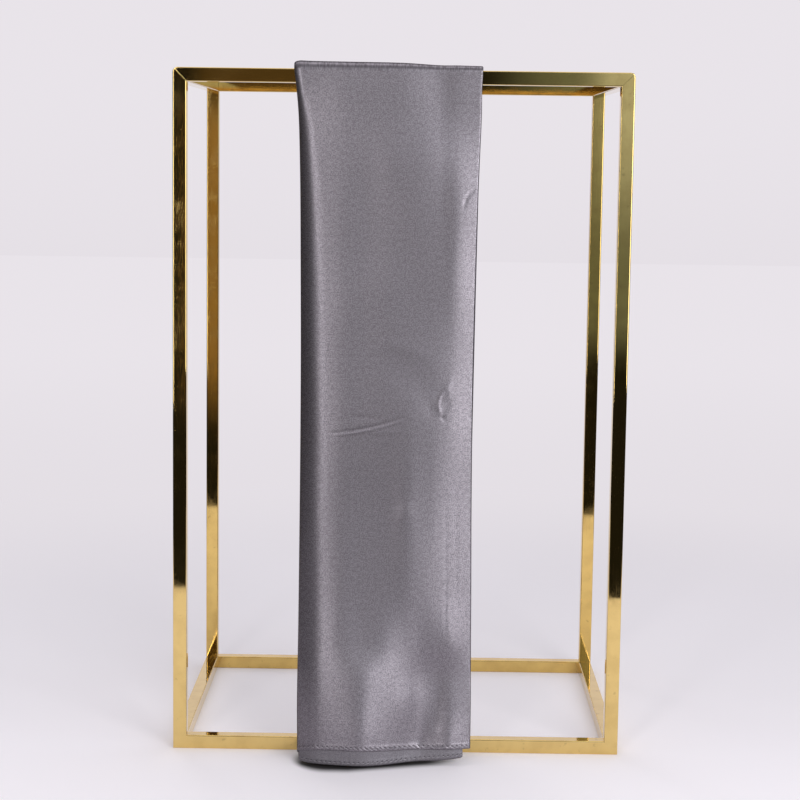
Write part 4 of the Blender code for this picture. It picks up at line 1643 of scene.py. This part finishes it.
@dataclass(frozen=True)
class Studio:
    """Floor, backdrop, lights and camera. None of it is part of the object.

    Attributes:
        floor_size: Side of the floor.
        floor_roughness: How dull it is.
        rear_y: Range of Y over which the floor's colour darkens towards the rear, as painted shade.
        rear_shade_share: Share of its tone that is left there.
        glow: Light that the floor gives of itself.
        fade: Range of distance over which the floor fades into the backdrop.
        wall_y: Range of Y over which the backdrop turns from its darker foot, painted shade, to its own tone.
        table_front: Y at which a mirror sees the floor end, at the middle.
        table_slant: How that end slants.
        table_half: Half the width that a mirror sees.
        front_blur: Half the blur of the front end.
        side_blur: Half the blur of the sides.
        room_foot: Range of height over which the room's rear wall turns from the backdrop's darker foot,
            painted shade, to the backdrop's own tone.
        room_rear: Range of depth over which the room turns into that wall.
        camera_place: Place of the camera that the stand's corners give.
        camera_turn: Its pan, pitch and roll in degrees.
        lens: Its focal length in millimetres.
        sensor: Its sensor's width in millimetres.
        clip: Range of distance that it sees.
    """

    floor_size: float = 12.0
    floor_roughness: float = 0.7
    rear_y: Range = (-0.25, 0.12)
    rear_shade_share: float = 0.90
    glow: float = 0.12
    fade: Range = (0.35, 0.95)
    wall_y: Range = (0.4, 2.6)
    table_front: float = -0.568
    table_slant: float = 0.05
    table_half: float = 0.70
    front_blur: float = 0.003
    side_blur: float = 0.02
    room_foot: Range = (-0.12, 0.04)
    room_rear: Range = (0.50, 0.85)
    camera_place: tuple[float, float, float] = (0.0099, -1.3674, 0.3966)
    camera_turn: tuple[float, float, float] = (-0.432, 7.119, 0.760)
    lens: float = 88.75
    sensor: float = 36.0
    clip: Range = (0.05, 50.0)

    def floor(self) -> None:
        """Pale floor that fades into the backdrop, and that a mirror sees end like a table."""
        mesh = bpy.data.meshes.new("studio_floor")
        half = self.floor_size / 2
        corners = [(-half, -half, 0), (half, -half, 0), (half, half, 0), (-half, half, 0)]
        mesh.from_pydata(corners, [], [(0, 1, 2, 3)])
        mesh.materials.append(self.floor_material())
        add_object("studio_floor", mesh)

    def floor_material(self) -> bpy.types.Material:
        """Floor shader: lit near the stand, with painted shade towards the rear and a painted shadow under
        the scarf's hems, backdrop far off, and gone past the table's edge in mirrors.

        Returns:
            The floor's material.
        """
        material, kit, shader = start_material("studio_floor")
        shader.inputs["Roughness"].default_value = self.floor_roughness
        x, y, _ = kit.split(kit.node("ShaderNodeTexCoord").outputs["Object"])
        # Painted shade: the floor's colour darkens towards the rear.
        shaded_table = tuple(value * self.rear_shade_share for value in Tone.TABLE.value[:3])
        pale = kit.mix(kit.ramp(y, *self.rear_y), Tone.TABLE.value, (*shaded_table, 1))
        # Painted shadow: the floor's colour goes dark under the scarf's front hems, and its glow is cut
        # there.
        painted_shadow = ContactShadow().share(kit, x, y)
        kit.link(kit.mix(painted_shadow, pale, Tone.PAINTED_CONTACT_SHADOW.value), shader.inputs["Base Color"])
        shader.inputs["Emission Color"].default_value = Tone.TABLE.value
        glow = kit.maths("MULTIPLY_ADD", painted_shadow, -self.glow, self.glow)
        kit.link(glow, shader.inputs["Emission Strength"])
        distance = kit.maths("SQRT", kit.maths("ADD", kit.product(x, x), kit.product(y, y)))
        wall = kit.mix(kit.ramp(y, *self.wall_y), Tone.SHADED_BACKDROP_FOOT.value, Tone.BACKDROP.value)
        backdrop = kit.node("ShaderNodeEmission", {"Color": wall})
        faded = kit.mix_shaders(kit.ramp(distance, *self.fade), shader, backdrop)
        edge = kit.maths("MULTIPLY_ADD", x, self.table_slant, self.table_front)
        past_front = kit.ramp(kit.maths("SUBTRACT", edge, y), -self.front_blur, self.front_blur)
        sides = (self.table_half - self.side_blur, self.table_half + self.side_blur)
        past = kit.maths("MAXIMUM", past_front, kit.ramp(kit.maths("ABSOLUTE", x), *sides))
        mirrored = kit.product(past, kit.node("ShaderNodeLightPath").outputs["Is Glossy Ray"])
        whole = kit.mix_shaders(mirrored, faded, kit.node("ShaderNodeBsdfTransparent"))
        kit.link(whole.outputs[0], material.node_tree.nodes["Material Output"].inputs["Surface"])
        return material

    def world(self) -> None:
        """Backdrop for the eye, and a room that is pale behind and dark in front for mirrors."""
        world = bpy.data.worlds.new("studio_room")
        world.use_nodes = True
        bpy.context.scene.world = world
        kit = NodeKit(world.node_tree)
        across, depth, height = kit.split(kit.node("ShaderNodeTexCoord").outputs["Generated"])
        away = kit.maths("MAXIMUM", kit.maths("ABSOLUTE", depth), 0.01)
        slopes = [kit.maths("DIVIDE", value, away) for value in (across, height)]
        measures = {Way.ACROSS: slopes[0], Way.UP: slopes[1], Way.HEIGHT: height}
        room = Tone.DARK_ROOM.value
        for patch in ROOM:
            share = kit.product(*(kit.ramp(measures[fade.way], *fade[1:]) for fade in patch.fades))
            room = kit.mix(share, room, patch.tone.value)
        wall = kit.mix(kit.ramp(height, *self.room_foot), Tone.SHADED_BACKDROP_FOOT.value, Tone.BACKDROP.value)
        seen = kit.node("ShaderNodeLightPath").outputs["Is Camera Ray"]
        room = kit.mix(kit.maths("MAXIMUM", kit.ramp(depth, *self.room_rear), seen), room, wall)
        kit.link(room, world.node_tree.nodes["Background"].inputs["Color"])

    def lights(self) -> None:
        """Soft boxes from above, from both sides and from behind."""
        for box in SOFTBOXES:
            data = bpy.data.lights.new(box.name, "AREA")
            data.shape = "RECTANGLE"
            data.size, data.size_y = box.size
            data.energy = box.power
            lamp = add_object(box.name, data)
            lamp.location = box.place
            lamp.rotation_euler = (Vector(box.aim) - Vector(box.place)).to_track_quat("-Z", "Y").to_euler()
            lamp.visible_camera = False

    def camera(self) -> None:
        """Camera at the height, distance and angle that the stand's corners give."""
        pan, pitch, roll = (math.radians(angle) for angle in self.camera_turn)
        right = Vector((math.cos(pan), -math.sin(pan), 0))
        level = Vector((math.sin(pan), math.cos(pan), 0))
        ahead = level * math.cos(pitch) - Vector((0, 0, math.sin(pitch)))
        up = level * math.sin(pitch) + Vector((0, 0, math.cos(pitch)))
        turned_right = right * math.cos(roll) + up * math.sin(roll)
        turned_up = up * math.cos(roll) - right * math.sin(roll)
        data = bpy.data.cameras.new("studio_camera")
        data.sensor_width = self.sensor
        data.lens = self.lens
        data.clip_start, data.clip_end = self.clip
        camera = add_object("studio_camera", data)
        turn = Matrix((turned_right, turned_up, -ahead)).transposed().to_4x4()
        camera.matrix_world = Matrix.Translation(self.camera_place) @ turn
        bpy.context.scene.camera = camera

    def build(self) -> None:
        """Set up the whole studio."""
        bpy.context.scene.view_settings.view_transform = "Standard"
        self.floor()
        self.world()
        self.lights()
        self.camera()


def stand(finishes: Finishes) -> list[bpy.types.Object]:
    """Build the stand: two welded frames and the bars between them.

    Args:
        finishes: The part's materials.

    Returns:
        The stand's pieces.
    """
    front, back = (
        WeldedFrame(
            f"welded_{place}_frame",
            middle_y,
            tuple(f"stand_{place}_{bar}" for bar in ("top", "bottom", "left", "right")),
        )
        for place, middle_y in (("front", FRONT_Y + TUBE / 2), ("back", FRONT_Y + STAND_DEPTH - TUBE / 2))
    )
    # The back frame gets the shaded copy of the brass, with painted shade in its colour.
    made = [front.build(finishes.brass), back.build(finishes.back_brass_shade), *DepthBars().build(finishes.brass)]
    return made


def main() -> None:
    """Build the studio, the stand and the scarf, and report each piece."""
    logging.basicConfig(level=logging.INFO, format="%(name)s: %(message)s")
    Studio().build()
    finishes = Finishes()
    metal = stand(finishes)
    cloth = Scarf(finishes).build()
    for piece in metal + cloth:
        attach(piece, "root")
        piece.data.calc_loop_triangles()
        LOG.info("%s: %d triangles", piece.name, len(piece.data.loop_triangles))


if __name__ == "__main__":
    main()
